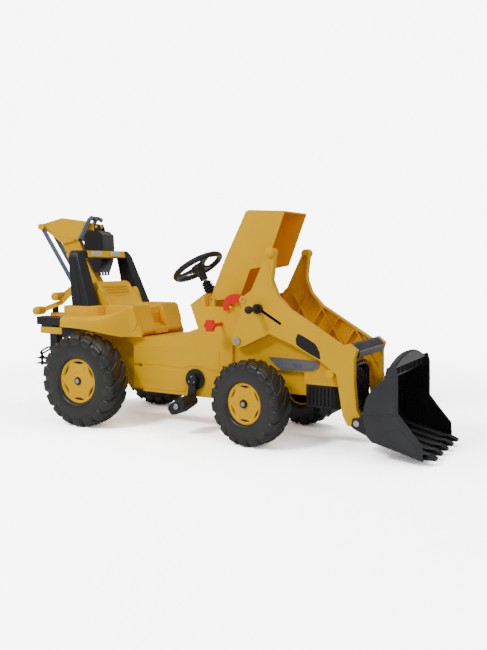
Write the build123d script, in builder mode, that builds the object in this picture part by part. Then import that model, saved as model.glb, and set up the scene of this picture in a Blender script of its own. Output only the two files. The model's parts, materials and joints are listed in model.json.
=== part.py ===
"""Ride-on pedal backhoe loader for a child, as separate pieces in one frame.

Millimetres. +X points forward, +Y to the driver's left, +Z up. The origin lies on the
floor under the middle of the toy's bounding box. Outlines are given as (x, z) pairs
measured from the rear axle, so REAR_AXLE_X is the only place where the origin is set.
"""
import os
from math import cos, radians, sin

from build123d import *

# ---- overall layout -----------------------------------------------------------------
REAR_AXLE_X = -367.5            # rear axle, from the middle of the bounding box
REAR_WHEEL_R = 155.0
REAR_WHEEL_WIDTH = 94.0
REAR_WHEEL_Y = 215.0            # centre line to the middle of a rear wheel
FRONT_WHEEL_R = 130.0
FRONT_WHEEL_WIDTH = 80.0
KINGPIN_X = 625.0
KINGPIN_Y = 120.0
FRONT_WHEEL_OFFSET = 57.0       # kingpin to the middle of a front wheel
STEER_AT_REST = -10.0           # degrees about +Z, front wheels turned to the right
SPIN_FIT = 0.05                 # radial clearance of every running fit
FACE_GAP = 0.4                  # clearance between neighbouring pieces

# ---- body ---------------------------------------------------------------------------
BODY_HALF = 110.0
CORE_HALF = 85.0
NOSE_HALF = 100.0
WALL = 6.0
BODY_BOTTOM = 115.0
DECK_Z = 298.0                  # top of the body under the seat
BAY_FLOOR = 235.0
BAY_HALF = 88.0
HINGE = (425.0, 430.0)          # bonnet hinge
BONNET_HALF = 80.0
BONNET_SKIN = 3.0
CRANK = (378.0, 172.0)
CRANK_LENGTH = 72.4
CRANK_ARM_Y = 121.0
STEERING_FOOT = (369.0, 448.0)  # steering shaft, where it leaves the boot's lower half
STEERING_HUB = (316.0, 533.0)

# ---- loader -------------------------------------------------------------------------
ARM_PIVOT = (546.0, 308.0)
ARM_EYE = (566.0, 434.0)
ARM_INNER = 113.0
ARM_OUTER = 134.0
ARM_SKIN = 4.0
BUCKET_PIVOT = (939.0, 95.0)
BUCKET_HALF = 163.0
BUCKET_WALL = 4.0
LEVER_SLOT = ((620.0, 409.0), (692.0, 367.0))
LATCH_PEG = (515.0, 410.0)
LOCK_HANDLE = (475.0, 355.0)

# ---- backhoe, in its own side plane (u forward from the slew post, z up) --------------
SLEW_POST_X = -335.0
SLEW_AT_REST = 15.0             # degrees about +Z
BOOM_FOOT = (190.0, 415.0)
BOOM_HEAD = (55.0, 643.0)
STICK_TAIL = (-31.0, 681.0)
DIGGER_PIN = (186.0, 680.0)
BOOM_HALF = 24.0
TONGUE_HALF = 15.0
HITCH_PIN_X = -412.0

os.makedirs("parts", exist_ok=True)


def side_plane(y=0.0):
    """Plane at distance y left of the centre line; outlines on it are (x, z)."""
    return Plane(origin=(REAR_AXLE_X, y, 0), x_dir=(1, 0, 0), z_dir=(0, -1, 0))


def top_plane(z=0.0):
    """Level plane at height z; outlines on it are (x, y)."""
    return Plane(origin=(REAR_AXLE_X, 0, z), x_dir=(1, 0, 0), z_dir=(0, 0, 1))


def cross_plane(x=0.0):
    """Upright plane across the toy at x; outlines on it are (y, z)."""
    return Plane(origin=(REAR_AXLE_X + x, 0, 0), x_dir=(0, 1, 0), z_dir=(1, 0, 0))


def slew_plane(n=0.0):
    """Side plane of the slewed backhoe, n left of its middle; outlines on it are (u, z)."""
    angle = radians(SLEW_AT_REST)
    ahead = Vector(cos(angle), sin(angle), 0)
    left = Vector(-sin(angle), cos(angle), 0)
    post = Vector(REAR_AXLE_X + SLEW_POST_X, 0, 0)
    return Plane(origin=post + left * n, x_dir=ahead, z_dir=left * -1)


def save(piece, name):
    """Label a finished piece and write it to parts/."""
    piece.part.label = name
    export_step(piece.part, f"parts/{name}.step")


def plate(plane, outline, thickness, corner=0.0, both=False, mode=Mode.ADD):
    """Extrude a closed outline from a plane; corner rounds all its corners."""
    with BuildSketch(plane) as face:
        with BuildLine():
            Polyline(*outline, close=True)
        make_face()
        if corner:
            fillet(face.vertices(), corner)
    extrude(face.sketch, amount=thickness, both=both, mode=mode)


def disc(plane, centre, radius, thickness, both=False, mode=Mode.ADD):
    """Extrude a circle from a plane."""
    with BuildSketch(plane) as face:
        with Locations(centre):
            Circle(radius)
    extrude(face.sketch, amount=thickness, both=both, mode=mode)


def bars(plane, points, width, thickness, mode=Mode.ADD):
    """Round-ended flat bars that follow a chain of points."""
    with BuildSketch(plane) as face:
        for start, end in zip(points, points[1:]):
            run = Vector(*end) - Vector(*start)
            middle = (Vector(*start) + Vector(*end)) * 0.5
            angle = Vector(1, 0, 0).get_signed_angle(run, Vector(0, 0, 1))
            with Locations((middle.X, middle.Y)):
                SlotCenterToCenter(run.length, width, rotation=angle)
    extrude(face.sketch, amount=thickness, mode=mode)


def in_arm_outline():
    """Outline of a loader arm from its tower round to the bucket end."""
    return [(648, 577), (628, 534), (594, 464), (581, 455), (554, 436), (561, 412),
            (552, 375), (528, 322), (530, 296), (548, 286), (569, 293), (656, 335),
            (729, 308), (820, 266), (873, 228), (893, 112), (908, 84), (945, 80),
            (953, 100), (935, 134), (926, 210), (925, 275), (933, 300), (908, 319),
            (889, 311), (784, 374), (722, 410), (683, 450), (664, 497), (673, 577)]


# ---- wheels ---------------------------------------------------------------------------
LUG_COUNT = 18
LUG_HEIGHT = 8.0
TYRE_WALL = 6.0


def wheel_plane(centre, outward):
    """Plane in a wheel's middle, its normal pointing away from the toy."""
    forward = Vector(0, 0, 1).cross(outward)
    if forward.X < 0:
        forward = forward * -1
    return Plane(origin=centre, x_dir=forward, z_dir=outward)


def tyre_shape(radius, width, rim_radius):
    """Hollow tyre about the Z axis, with staggered tread blocks on both shoulders."""
    carcass = radius - LUG_HEIGHT
    half = width / 2
    with BuildPart() as shape:
        with BuildSketch(Plane.XZ) as section:
            with BuildLine():
                Polyline((rim_radius, -0.72 * half), (rim_radius, 0.72 * half),
                         (0.62 * radius, half), (0.84 * radius, half),
                         (carcass, 0.74 * half), (carcass, -0.74 * half),
                         (0.84 * radius, -half), (0.62 * radius, -half), close=True)
            make_face()
            fillet(section.vertices().group_by(Axis.X)[1:], 7)
        revolve(axis=Axis.Z)
        inner = half - TYRE_WALL
        with BuildSketch(Plane.XZ):
            with BuildLine():
                Polyline((rim_radius - 1, -0.6 * half), (rim_radius - 1, 0.6 * half),
                         (0.62 * radius, inner), (0.83 * radius, inner),
                         (carcass - TYRE_WALL, 0.7 * inner), (carcass - TYRE_WALL, -0.7 * inner),
                         (0.83 * radius, -inner), (0.62 * radius, -inner), close=True)
            make_face()
        revolve(axis=Axis.Z, mode=Mode.SUBTRACT)
        for side, first in ((1, 180 / LUG_COUNT), (-1, 0)):
            lug = (2.5 * LUG_HEIGHT, 0.15 * radius, 0.8 * half)
            with Locations((0, 0, side * 0.5 * half)):
                with PolarLocations(radius - lug[0] / 2, LUG_COUNT, first):
                    Box(*lug)
    return shape.part


def rim_shape(radius, width, bore):
    """Dished wheel disc about the Z axis with six lens-shaped windows."""
    half = 0.36 * width
    disc_z = 0.22 * width
    with BuildPart() as shape:
        with BuildSketch(Plane.XY.offset(-half)) as barrel:
            Circle(radius)
            Circle(radius - 6, mode=Mode.SUBTRACT)
        extrude(amount=2 * half)
        with BuildSketch(Plane.XY.offset(disc_z)) as web:
            Circle(radius - 3)
            with PolarLocations(0.80 * radius, 6, 30):
                SlotCenterToCenter(0.42 * radius, 0.15 * radius, rotation=90, mode=Mode.SUBTRACT)
        extrude(amount=7)
        with BuildSketch(Plane.XY.offset(-half)) as hub:
            Circle(18)
        extrude(amount=half + disc_z + 12)
        Cylinder(bore, 4 * width, mode=Mode.SUBTRACT)
    return shape.part


REAR_RIM_R = 0.475 * REAR_WHEEL_R
FRONT_RIM_R = 0.475 * FRONT_WHEEL_R
AXLE_R = 8.0
rear_tyre = tyre_shape(REAR_WHEEL_R, REAR_WHEEL_WIDTH, REAR_RIM_R)
rear_rim = rim_shape(REAR_RIM_R, REAR_WHEEL_WIDTH, AXLE_R)
front_tyre = tyre_shape(FRONT_WHEEL_R, FRONT_WHEEL_WIDTH, FRONT_RIM_R)
front_rim = rim_shape(FRONT_RIM_R, FRONT_WHEEL_WIDTH, AXLE_R + SPIN_FIT)

steer = radians(STEER_AT_REST)
for side_name, side in (("right", -1), ("left", 1)):
    rear_centre = Vector(REAR_AXLE_X, side * REAR_WHEEL_Y, REAR_WHEEL_R)
    rear_plane = wheel_plane(rear_centre, Vector(0, side, 0))
    outward = Vector(-side * sin(steer), side * cos(steer), 0)
    kingpin = Vector(REAR_AXLE_X + KINGPIN_X, side * KINGPIN_Y, FRONT_WHEEL_R)
    front_plane = wheel_plane(kingpin + outward * FRONT_WHEEL_OFFSET, outward)
    for end, plane, tyre_piece, rim_piece in (("rear", rear_plane, rear_tyre, rear_rim),
                                              ("front", front_plane, front_tyre, front_rim)):
        with BuildPart(plane) as tyre:
            add(tyre_piece)
        save(tyre, f"tyre_{end}_{side_name}")
        with BuildPart(plane) as rim:
            add(rim_piece)
        save(rim, f"rim_{end}_{side_name}")

HUB_Z = 0.22 * REAR_WHEEL_WIDTH + 12      # rim hub face, from the wheel's middle
REAR_AXLE_END = REAR_WHEEL_Y + HUB_Z + 6
with BuildPart() as rear_axle:
    disc(side_plane(), (0, REAR_WHEEL_R), AXLE_R, REAR_AXLE_END, both=True)
save(rear_axle, "rear_axle")

with BuildPart() as rear_hub_nuts:
    for side in (-1, 1):
        nut_face = side_plane(side * (REAR_WHEEL_Y + HUB_Z))
        with BuildSketch(nut_face) as nut:
            with Locations((0, REAR_WHEEL_R)):
                RegularPolygon(13, 6)
                Circle(AXLE_R, mode=Mode.SUBTRACT)
        extrude(nut.sketch, amount=-side * 7)
save(rear_hub_nuts, "rear_hub_nuts")

# ---- front axle and steering ------------------------------------------------------------
BEAM_Z = (118.0, 142.0)
KINGPIN_R = 6.0
YOKE_R = 13.0
STEER_ARM = 55.0
FRONT_HUB_Z = 0.22 * FRONT_WHEEL_WIDTH + 12
with BuildPart() as front_axle:
    plate(side_plane(), [(KINGPIN_X - 15, BEAM_Z[0]), (KINGPIN_X + 15, BEAM_Z[0]),
                         (KINGPIN_X + 15, BEAM_Z[1]), (KINGPIN_X - 15, BEAM_Z[1])],
          KINGPIN_Y - 8, both=True)
    plate(side_plane(), [(KINGPIN_X - 20, BEAM_Z[1]), (KINGPIN_X + 20, BEAM_Z[1]),
                         (KINGPIN_X + 20, 150), (KINGPIN_X - 20, 150)], CORE_HALF, both=True)
    for side in (-1, 1):
        disc(top_plane(BEAM_Z[0]), (KINGPIN_X, side * KINGPIN_Y), YOKE_R, BEAM_Z[1] - BEAM_Z[0])
    for side in (-1, 1):
        disc(top_plane(BEAM_Z[0]), (KINGPIN_X, side * KINGPIN_Y), KINGPIN_R + SPIN_FIT,
             BEAM_Z[1] - BEAM_Z[0], mode=Mode.SUBTRACT)
save(front_axle, "front_axle")

for side_name, side in (("right", -1), ("left", 1)):
    def knuckle_plane(z):
        """Level plane of the steered knuckle, centred on the kingpin."""
        return Plane(origin=(REAR_AXLE_X + KINGPIN_X, side * KINGPIN_Y, z),
                     x_dir=(cos(steer), sin(steer), 0), z_dir=(0, 0, 1))

    ear_low = BEAM_Z[0] - FACE_GAP - 5
    ear_high = BEAM_Z[1] + FACE_GAP
    web_in, web_out = side * 15.0, side * 21.0
    with BuildPart() as knuckle:
        disc(knuckle_plane(ear_low), (0, 0), KINGPIN_R, ear_high + 5 - ear_low)
        for ear_z in (ear_low, ear_high):
            disc(knuckle_plane(ear_z), (0, 0), YOKE_R, 5)
            plate(knuckle_plane(ear_z), [(-YOKE_R, 0), (YOKE_R, 0), (YOKE_R, web_out),
                                         (-YOKE_R, web_out)], 5)
        plate(knuckle_plane(ear_low), [(-YOKE_R, web_in), (YOKE_R, web_in), (YOKE_R, web_out),
                                       (-YOKE_R, web_out)], ear_high + 5 - ear_low)
        bars(knuckle_plane(ear_low), [(0, 0), (-STEER_ARM, 0)], 16, 5)
        disc(knuckle_plane(ear_low - 9), (-STEER_ARM, 0), 4, 9)
        stub_plane = Plane(origin=knuckle_plane(FRONT_WHEEL_R).origin,
                           x_dir=(0, 0, 1), z_dir=(-side * sin(steer), side * cos(steer), 0))
        stub_end = FRONT_WHEEL_OFFSET + FRONT_HUB_Z + 4
        disc(stub_plane.offset(20), (0, 0), AXLE_R, stub_end - 20)
        shoulder = FRONT_WHEEL_OFFSET - 0.36 * FRONT_WHEEL_WIDTH - FACE_GAP
        disc(stub_plane.offset(20), (0, 0), 12, shoulder - 20)
    save(knuckle, f"knuckle_{side_name}")

    with BuildPart() as hub_nut:
        nut_plane = stub_plane.offset(stub_end)
        with BuildSketch(nut_plane) as nut:
            RegularPolygon(13, 6)
        extrude(nut.sketch, amount=6)
        fillet(hub_nut.edges().group_by(Axis((0, 0, 0), nut_plane.z_dir))[-1], 2)
    save(hub_nut, f"hub_nut_front_{side_name}")

tie_shift = -STEER_ARM * sin(steer)
TIE_ROD_X = KINGPIN_X - STEER_ARM + 1.5
with BuildPart() as tie_rod:
    tie_z = ear_low - 7
    with BuildSketch(top_plane(tie_z)) as tie:
        with Locations((TIE_ROD_X, tie_shift)):
            Rectangle(18, 2 * KINGPIN_Y)
        for side in (-1, 1):
            with Locations((TIE_ROD_X, side * KINGPIN_Y + tie_shift)):
                Circle(13)
                SlotOverall(17, 10.4, mode=Mode.SUBTRACT)
    extrude(tie.sketch, amount=5)
save(tie_rod, "tie_rod")

shaft_run = Vector(STEERING_HUB[0] - STEERING_FOOT[0], STEERING_HUB[1] - STEERING_FOOT[1])
shaft_tilt = shaft_run.normalized()


def along_shaft(distance):
    """Plane square to the steering shaft, at a distance below (-) or above (+) its hub."""
    spot = Vector(*STEERING_HUB) + shaft_tilt * distance
    return Plane(origin=(REAR_AXLE_X + spot.X, 0, spot.Y), x_dir=(0, 1, 0),
                 z_dir=(shaft_tilt.X, 0, shaft_tilt.Y))


SHAFT_R = 7.0
BOOT_BOTTOM = -121.8            # along the shaft from the hub
BOOT_TOP = -58.0
SHAFT_BOTTOM = -482.0
SLEEVE_BOTTOM = -50.0
with BuildPart() as steering_shaft:
    with BuildSketch(along_shaft(SHAFT_BOTTOM)):
        Circle(SHAFT_R)
    extrude(amount=-SHAFT_BOTTOM - 14)
    with BuildSketch(along_shaft(SHAFT_BOTTOM)) as pitman:
        with Locations((0, -13)):
            SlotCenterToCenter(26, 18, rotation=90)
    extrude(amount=6)
save(steering_shaft, "steering_shaft")

with BuildPart() as steering_boot:
    for step in range(5):
        span = (BOOT_TOP - BOOT_BOTTOM) / 5
        with BuildSketch(along_shaft(BOOT_BOTTOM + step * span)):
            Circle(26 - 1.6 * step)
        extrude(amount=0.6 * span)
        with BuildSketch(along_shaft(BOOT_BOTTOM + (step + 0.6) * span)):
            Circle(19 - 1.2 * step)
        extrude(amount=0.4 * span)
    with BuildSketch(along_shaft(BOOT_BOTTOM)):
        Circle(SHAFT_R + SPIN_FIT)
    extrude(amount=BOOT_TOP - BOOT_BOTTOM, mode=Mode.SUBTRACT)
save(steering_boot, "steering_boot")

RIM_MAJOR = 82.0
RIM_MINOR = 10.0
with BuildPart() as steering_wheel:
    with BuildSketch(along_shaft(SLEEVE_BOTTOM)):
        Circle(14)
    extrude(amount=-SLEEVE_BOTTOM)
    with BuildSketch(along_shaft(-14)):
        Circle(30)
    extrude(amount=20)
    with BuildSketch(along_shaft(-8)):
        with PolarLocations(RIM_MAJOR / 2 + 6, 3, 0):
            Rectangle(RIM_MAJOR - 20, 24)
    extrude(amount=9)
    with Locations(along_shaft(0).location):
        Torus(RIM_MAJOR, RIM_MINOR)
    with BuildSketch(along_shaft(SLEEVE_BOTTOM)):
        Circle(SHAFT_R)
    extrude(amount=-SLEEVE_BOTTOM - 14, mode=Mode.SUBTRACT)
save(steering_wheel, "steering_wheel")

# ---- cranks, pedals and chain ---------------------------------------------------------------
CRANK_SPROCKET_R = 44.0
AXLE_SPROCKET_R = 27.0
CHAIN_HALF = 3.0
CHAIN_GAP = 0.8
foot_right = (CRANK[0] - 7.0, CRANK[1] - CRANK_LENGTH)
foot_left = (CRANK[0] + 7.0, CRANK[1] + CRANK_LENGTH)
with BuildPart() as crank_axle:
    disc(side_plane(), CRANK, AXLE_R, CRANK_ARM_Y + 12, both=True)
save(crank_axle, "crank_axle")

with BuildPart() as crank_arms:
    for side, foot in ((-1, foot_right), (1, foot_left)):
        arm_plane = side_plane(side * CRANK_ARM_Y)
        bars(arm_plane, [CRANK, foot], 26, -side * 12)
        disc(arm_plane, CRANK, 17, -side * 12)
        disc(arm_plane, CRANK, AXLE_R, -side * 12, mode=Mode.SUBTRACT)
        disc(arm_plane, foot, 6, -side * 96)
save(crank_arms, "crank_arms")

for side_name, side, foot in (("right", -1, foot_right), ("left", 1, foot_left)):
    pedal_plane = Plane(origin=(REAR_AXLE_X + foot[0], side * (CRANK_ARM_Y + 14), foot[1]),
                        x_dir=(cos(radians(36)), 0, sin(radians(36))), z_dir=(0, side, 0))
    with BuildPart() as pedal:
        with BuildSketch(pedal_plane) as tread:
            RectangleRounded(66, 34, 12)
        extrude(tread.sketch, amount=78)
        disc(pedal_plane, (0, 0), 6 + SPIN_FIT, 78, mode=Mode.SUBTRACT)
    save(pedal, f"pedal_{side_name}")

for name, centre, radius in (("crank_sprocket", CRANK, CRANK_SPROCKET_R),
                             ("axle_sprocket", (0, REAR_WHEEL_R), AXLE_SPROCKET_R)):
    with BuildPart() as sprocket:
        disc(side_plane(), centre, radius, CHAIN_HALF, both=True)
        disc(side_plane(), centre, AXLE_R, CHAIN_HALF, both=True, mode=Mode.SUBTRACT)
    save(sprocket, name)

with BuildPart() as chain:
    for growth, mode in ((6.0, Mode.ADD), (CHAIN_GAP, Mode.SUBTRACT)):
        with BuildSketch(side_plane()) as loop:
            with Locations(CRANK):
                Circle(CRANK_SPROCKET_R + growth)
            with Locations((0, REAR_WHEEL_R)):
                Circle(AXLE_SPROCKET_R + growth)
            make_hull()
        extrude(loop.sketch, amount=CHAIN_HALF, both=True, mode=mode)
save(chain, "chain")

with BuildPart() as crank_bearings:
    for side in (-1, 1):
        bearing_plane = side_plane(side * (BODY_HALF + 0.1))
        disc(bearing_plane, CRANK, 34, -side * 9)
        disc(bearing_plane, CRANK, AXLE_R + SPIN_FIT, -side * 9, mode=Mode.SUBTRACT)
        for screw in ((CRANK[0] + 14, CRANK[1] + 20), (CRANK[0] + 18, CRANK[1] - 16)):
            disc(side_plane(side * (BODY_HALF + 9.1)), screw, 3, -side * 1.2)
save(crank_bearings, "crank_bearings")

# ---- body ----------------------------------------------------------------------------------
WHEEL_ARCH_R = 168.0
with BuildPart() as chassis_body:
    plate(side_plane(), [(-150, 150), (-150, DECK_Z), (100, DECK_Z), (100, 125)], CORE_HALF,
          both=True)
    plate(side_plane(), [(95, BODY_BOTTOM), (95, DECK_Z), (190, DECK_Z), (318, 313), (386, 338),
                         (357, 413), (411, 449), (414, 409), (478, 408), (494, 426),
                         (545, 426), (545, 300), (515, 290), (515, 222), (478, 222),
                         (470, BODY_BOTTOM)], BODY_HALF, both=True)
    plate(side_plane(), [(515, 222), (515, 426), (560, 426), (600, 392), (640, 335), (700, 322),
                         (776, 281), (868, 262), (868, 187), (757, 187), (757, 222)], NOSE_HALF,
          both=True)
    plate(side_plane(), [(470, 150), (470, 240), (757, 240), (757, 150)], CORE_HALF, both=True)
    for side in (-1, 1):
        plate(top_plane(242), [(540, side * 99), (540, side * BODY_HALF), (592, side * NOSE_HALF),
                               (592, side * 99)], 152)
        disc(side_plane(side * CORE_HALF), (0, REAR_WHEEL_R), WHEEL_ARCH_R, -side * 60,
             mode=Mode.SUBTRACT)
        disc(side_plane(side * NOSE_HALF), ARM_PIVOT, 24, -side * (ARM_INNER - NOSE_HALF - FACE_GAP))
        disc(side_plane(side * BODY_HALF), LATCH_PEG, 4.8, -side * 13)
        disc(side_plane(side * (NOSE_HALF - 4)), (851, 228), 12.4, -side * (ARM_OUTER - NOSE_HALF + 2))
    # hollow from below, as a moulded shell
    plate(side_plane(), [(-144, 140), (-144, DECK_Z - WALL), (184, DECK_Z - WALL), (184, 100)],
          CORE_HALF - WALL, both=True, mode=Mode.SUBTRACT)
    plate(side_plane(), [(184, 100), (184, DECK_Z - WALL), (316, 306), (393, 334), (366, 410),
                         (404, 434), (407, 229), (509, 229), (509, 216), (471, 216), (464, 100)],
          BODY_HALF - WALL, both=True, mode=Mode.SUBTRACT)
    plate(side_plane(), [(455, 140), (455, 229), (750, 229), (750, 140)],
          CORE_HALF - WALL, both=True, mode=Mode.SUBTRACT)
    plate(side_plane(), [(783, 180), (783, 270), (862, 254), (862, 180)],
          NOSE_HALF - WALL, both=True, mode=Mode.SUBTRACT)
    # the open compartment under the bonnet
    plate(side_plane(), [(414, 500), (414, 350), (440, BAY_FLOOR), (776, BAY_FLOOR), (776, 500)],
          BAY_HALF, both=True, mode=Mode.SUBTRACT)
    for side in (-1, 1):
        plate(side_plane(side * (BONNET_HALF + 1)), [(413, 380), (440, 380), (436, 432),
                                                     (425, 441), (414, 432)], -side * 8.5)
        disc(side_plane(side * (BONNET_HALF + 1)), HINGE, 5, -side * 8.5, mode=Mode.SUBTRACT)
    for centre in ((0, REAR_WHEEL_R), CRANK):
        disc(side_plane(), centre, AXLE_R + SPIN_FIT, 200, both=True, mode=Mode.SUBTRACT)
    with BuildSketch(along_shaft(SHAFT_BOTTOM)) as shaft_way:
        Circle(SHAFT_R + 4)
    extrude(shaft_way.sketch, amount=-SHAFT_BOTTOM - 60, mode=Mode.SUBTRACT)
    with BuildSketch(along_shaft(BOOT_BOTTOM)) as boot_seat:
        Circle(27)
    extrude(boot_seat.sketch, amount=30, mode=Mode.SUBTRACT)
save(chassis_body, "chassis_body")

with BuildPart() as nose_bumper:
    bumper_plan = [(758, -86), (776, -100), (846, -100), (867.5, -84), (867.5, 84),
                   (846, 100), (776, 100), (758, 86)]
    plate(top_plane(119), bumper_plan, 67.5)
    plate(top_plane(127), [(768, -88), (840, -92), (858, -80), (858, 80), (840, 92), (768, 88)],
          70, mode=Mode.SUBTRACT)
    plate(top_plane(96), [(770, -70), (800, -80), (830, -70), (830, 70), (800, 80), (770, 70)], 23,
          corner=6)
    for groove in range(8):
        plate(cross_plane(762 + groove * 12), [(-101, 125), (-96, 125), (-96, 180), (-101, 180)],
              5, mode=Mode.SUBTRACT)
        plate(cross_plane(762 + groove * 12), [(101, 125), (96, 125), (96, 180), (101, 180)],
              5, mode=Mode.SUBTRACT)
save(nose_bumper, "nose_bumper")

with BuildPart() as nose_grille:
    with BuildSketch(cross_plane(868.5)) as grille_face:
        with Locations((0, 172)):
            RectangleRounded(140, 172, 40)
    extrude(grille_face.sketch, amount=36)
    fillet(nose_grille.faces().sort_by(Axis.X)[-1].edges(), 16)
    with BuildSketch(cross_plane(868.5)) as grille_back:
        with Locations((0, 172)):
            RectangleRounded(126, 158, 34)
    extrude(grille_back.sketch, amount=24, mode=Mode.SUBTRACT)
    for row in range(7):
        slot_z = 112 + row * 20
        plate(cross_plane(901), [(-52, slot_z), (52, slot_z), (52, slot_z + 7), (-52, slot_z + 7)],
              6, mode=Mode.SUBTRACT)
save(nose_grille, "nose_grille")

with BuildPart() as side_trims:
    for side in (-1, 1):
        plate(side_plane(side * (NOSE_HALF + 0.1)), [(640, 262), (668, 260), (800, 259), (807, 253),
                                                     (807, 236), (790, 226), (684, 224), (664, 231)],
              -side * 4)
save(side_trims, "side_trims")

# ---- bonnet ----------------------------------------------------------------------------------
bonnet_outline = [(416, 424), (430, 469), (470, 559), (538, 691), (543, 703), (554, 710),
                  (680, 703), (617, 537), (561, 527), (526, 440)]
with BuildPart() as bonnet:
    plate(side_plane(), bonnet_outline, BONNET_HALF, both=True)
    plate(side_plane(), [(419.5, 415), (434, 467.5), (473.8, 557.5), (541.5, 689.5), (546, 700.5),
                         (556, 706.6), (710, 697),
                         (710, 415)], BONNET_HALF - BONNET_SKIN, both=True, mode=Mode.SUBTRACT)
    disc(side_plane(), HINGE, 5 + SPIN_FIT, BONNET_HALF + 1, both=True, mode=Mode.SUBTRACT)
save(bonnet, "bonnet")

with BuildPart() as bonnet_hinge_pin:
    disc(side_plane(), HINGE, 5, BONNET_HALF + 8, both=True)
save(bonnet_hinge_pin, "bonnet_hinge_pin")

# ---- seat and rear deck -------------------------------------------------------------------------
with BuildPart() as seat:
    plate(side_plane(), [(8, 318), (8, 402), (30, 392), (90, 390), (137, 406), (152, 360),
                         (172, 314.4)], 112, both=True)
    plate(side_plane(), [(-64, DECK_Z + FACE_GAP), (-74, 470), (-70, 482), (-46, 482), (12, 400),
                         (150, 340), (150, DECK_Z + FACE_GAP)], 92, both=True)
save(seat, "seat")

DECK_TOP = 365.0
STEP_TOP = 400.0
with BuildPart() as fender_deck:
    for side in (-1, 1):
        plate(top_plane(328), [(-112, side * 142), (-112, side * 215), (20, side * 215),
                               (90, side * 196), (140, side * 150), (168, side * 130),
                               (168, side * 113), (-78, side * 113), (-78, side * 142)],
              DECK_TOP - 328)
        plate(top_plane(DECK_Z + FACE_GAP), [(40, side * 150), (90, side * 158), (140, side * 146),
                                             (166, side * 128), (166, side * 113),
                                             (40, side * 113)], 32)
        plate(top_plane(328), [(-106, side * 148), (-106, side * 209), (18, side * 209),
                               (84, side * 190), (100, side * 165), (-72, side * 165),
                               (-72, side * 148)], DECK_TOP - 6 - 328, mode=Mode.SUBTRACT)
        plate(top_plane(DECK_TOP - 1), [(-124, side * 104), (-124, side * 180), (-6, side * 180),
                                        (2, side * 113), (-80, side * 113), (-80, side * 104)],
              STEP_TOP - DECK_TOP + 1)
        plate(top_plane(DECK_TOP - 14), [(-124, side * 104), (-124, side * 150), (-70, side * 150),
                                         (-70, side * 104)], 14)
        plate(top_plane(300), [(-216, side * 146), (-216, side * 203), (-112, side * 203),
                               (-112, side * 146)], 24, corner=6)
        plate(top_plane(300), [(-150, side * 146), (-150, side * 160), (-100, side * 160),
                               (-100, side * 146)], 60)
    plate(top_plane(DECK_TOP - 30), [(-112, -146), (-79, -146), (-79, 146), (-112, 146)], 30)
    plate(top_plane(DECK_Z + FACE_GAP), [(-112, -80), (-79, -80), (-79, 80), (-112, 80)], 60)
save(fender_deck, "fender_deck")

with BuildPart() as tail_lights:
    for side in (-1, 1):
        plate(top_plane(340), [(-236, side * 142), (-236, side * 204), (-151, side * 204),
                               (-113, side * 204), (-113, side * 161), (-151, side * 161),
                               (-151, side * 142)], 19)
        plate(top_plane(324.2), [(-214, side * 148), (-214, side * 200), (-160, side * 200),
                                 (-160, side * 148)], 16)
save(tail_lights, "tail_lights")

ROOF_Z = (563.0, 591.0)
with BuildPart() as roll_bar:
    for side in (-1, 1):
        with BuildSketch(top_plane(STEP_TOP + 0.2)) as post_foot:
            with Locations((-54, side * 145)):
                RectangleRounded(80, 58, 8)
        with BuildSketch(top_plane(ROOF_Z[1])) as post_head:
            with Locations((-109.5, side * 129)):
                RectangleRounded(47, 38, 8)
        loft([post_foot.sketch, post_head.sketch])
    plate(side_plane(), [(-103, ROOF_Z[0]), (-103, ROOF_Z[1]), (-84, ROOF_Z[1]), (-76.5, ROOF_Z[0])],
          116, both=True)
    for side in (-1, 1):
        plate(cross_plane(-150), [(side * 132, 592), (side * 160, 592), (side * 160, 560)], 100,
              mode=Mode.SUBTRACT)
save(roll_bar, "roll_bar")

with BuildPart() as light_panel:
    plate(side_plane(), [(-76.9, 568), (-82.5, 588), (-80.0, 588), (-74.4, 568)], 100, both=True)
save(light_panel, "light_panel")
with BuildPart() as roof_lamps:
    for lamp_y in (-80, -54, 22, 47):
        plate(side_plane(lamp_y), [(-75.1, 571), (-79.3, 586), (-76.6, 586), (-72.4, 571)], -22)
save(roof_lamps, "roof_lamps")

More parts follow.
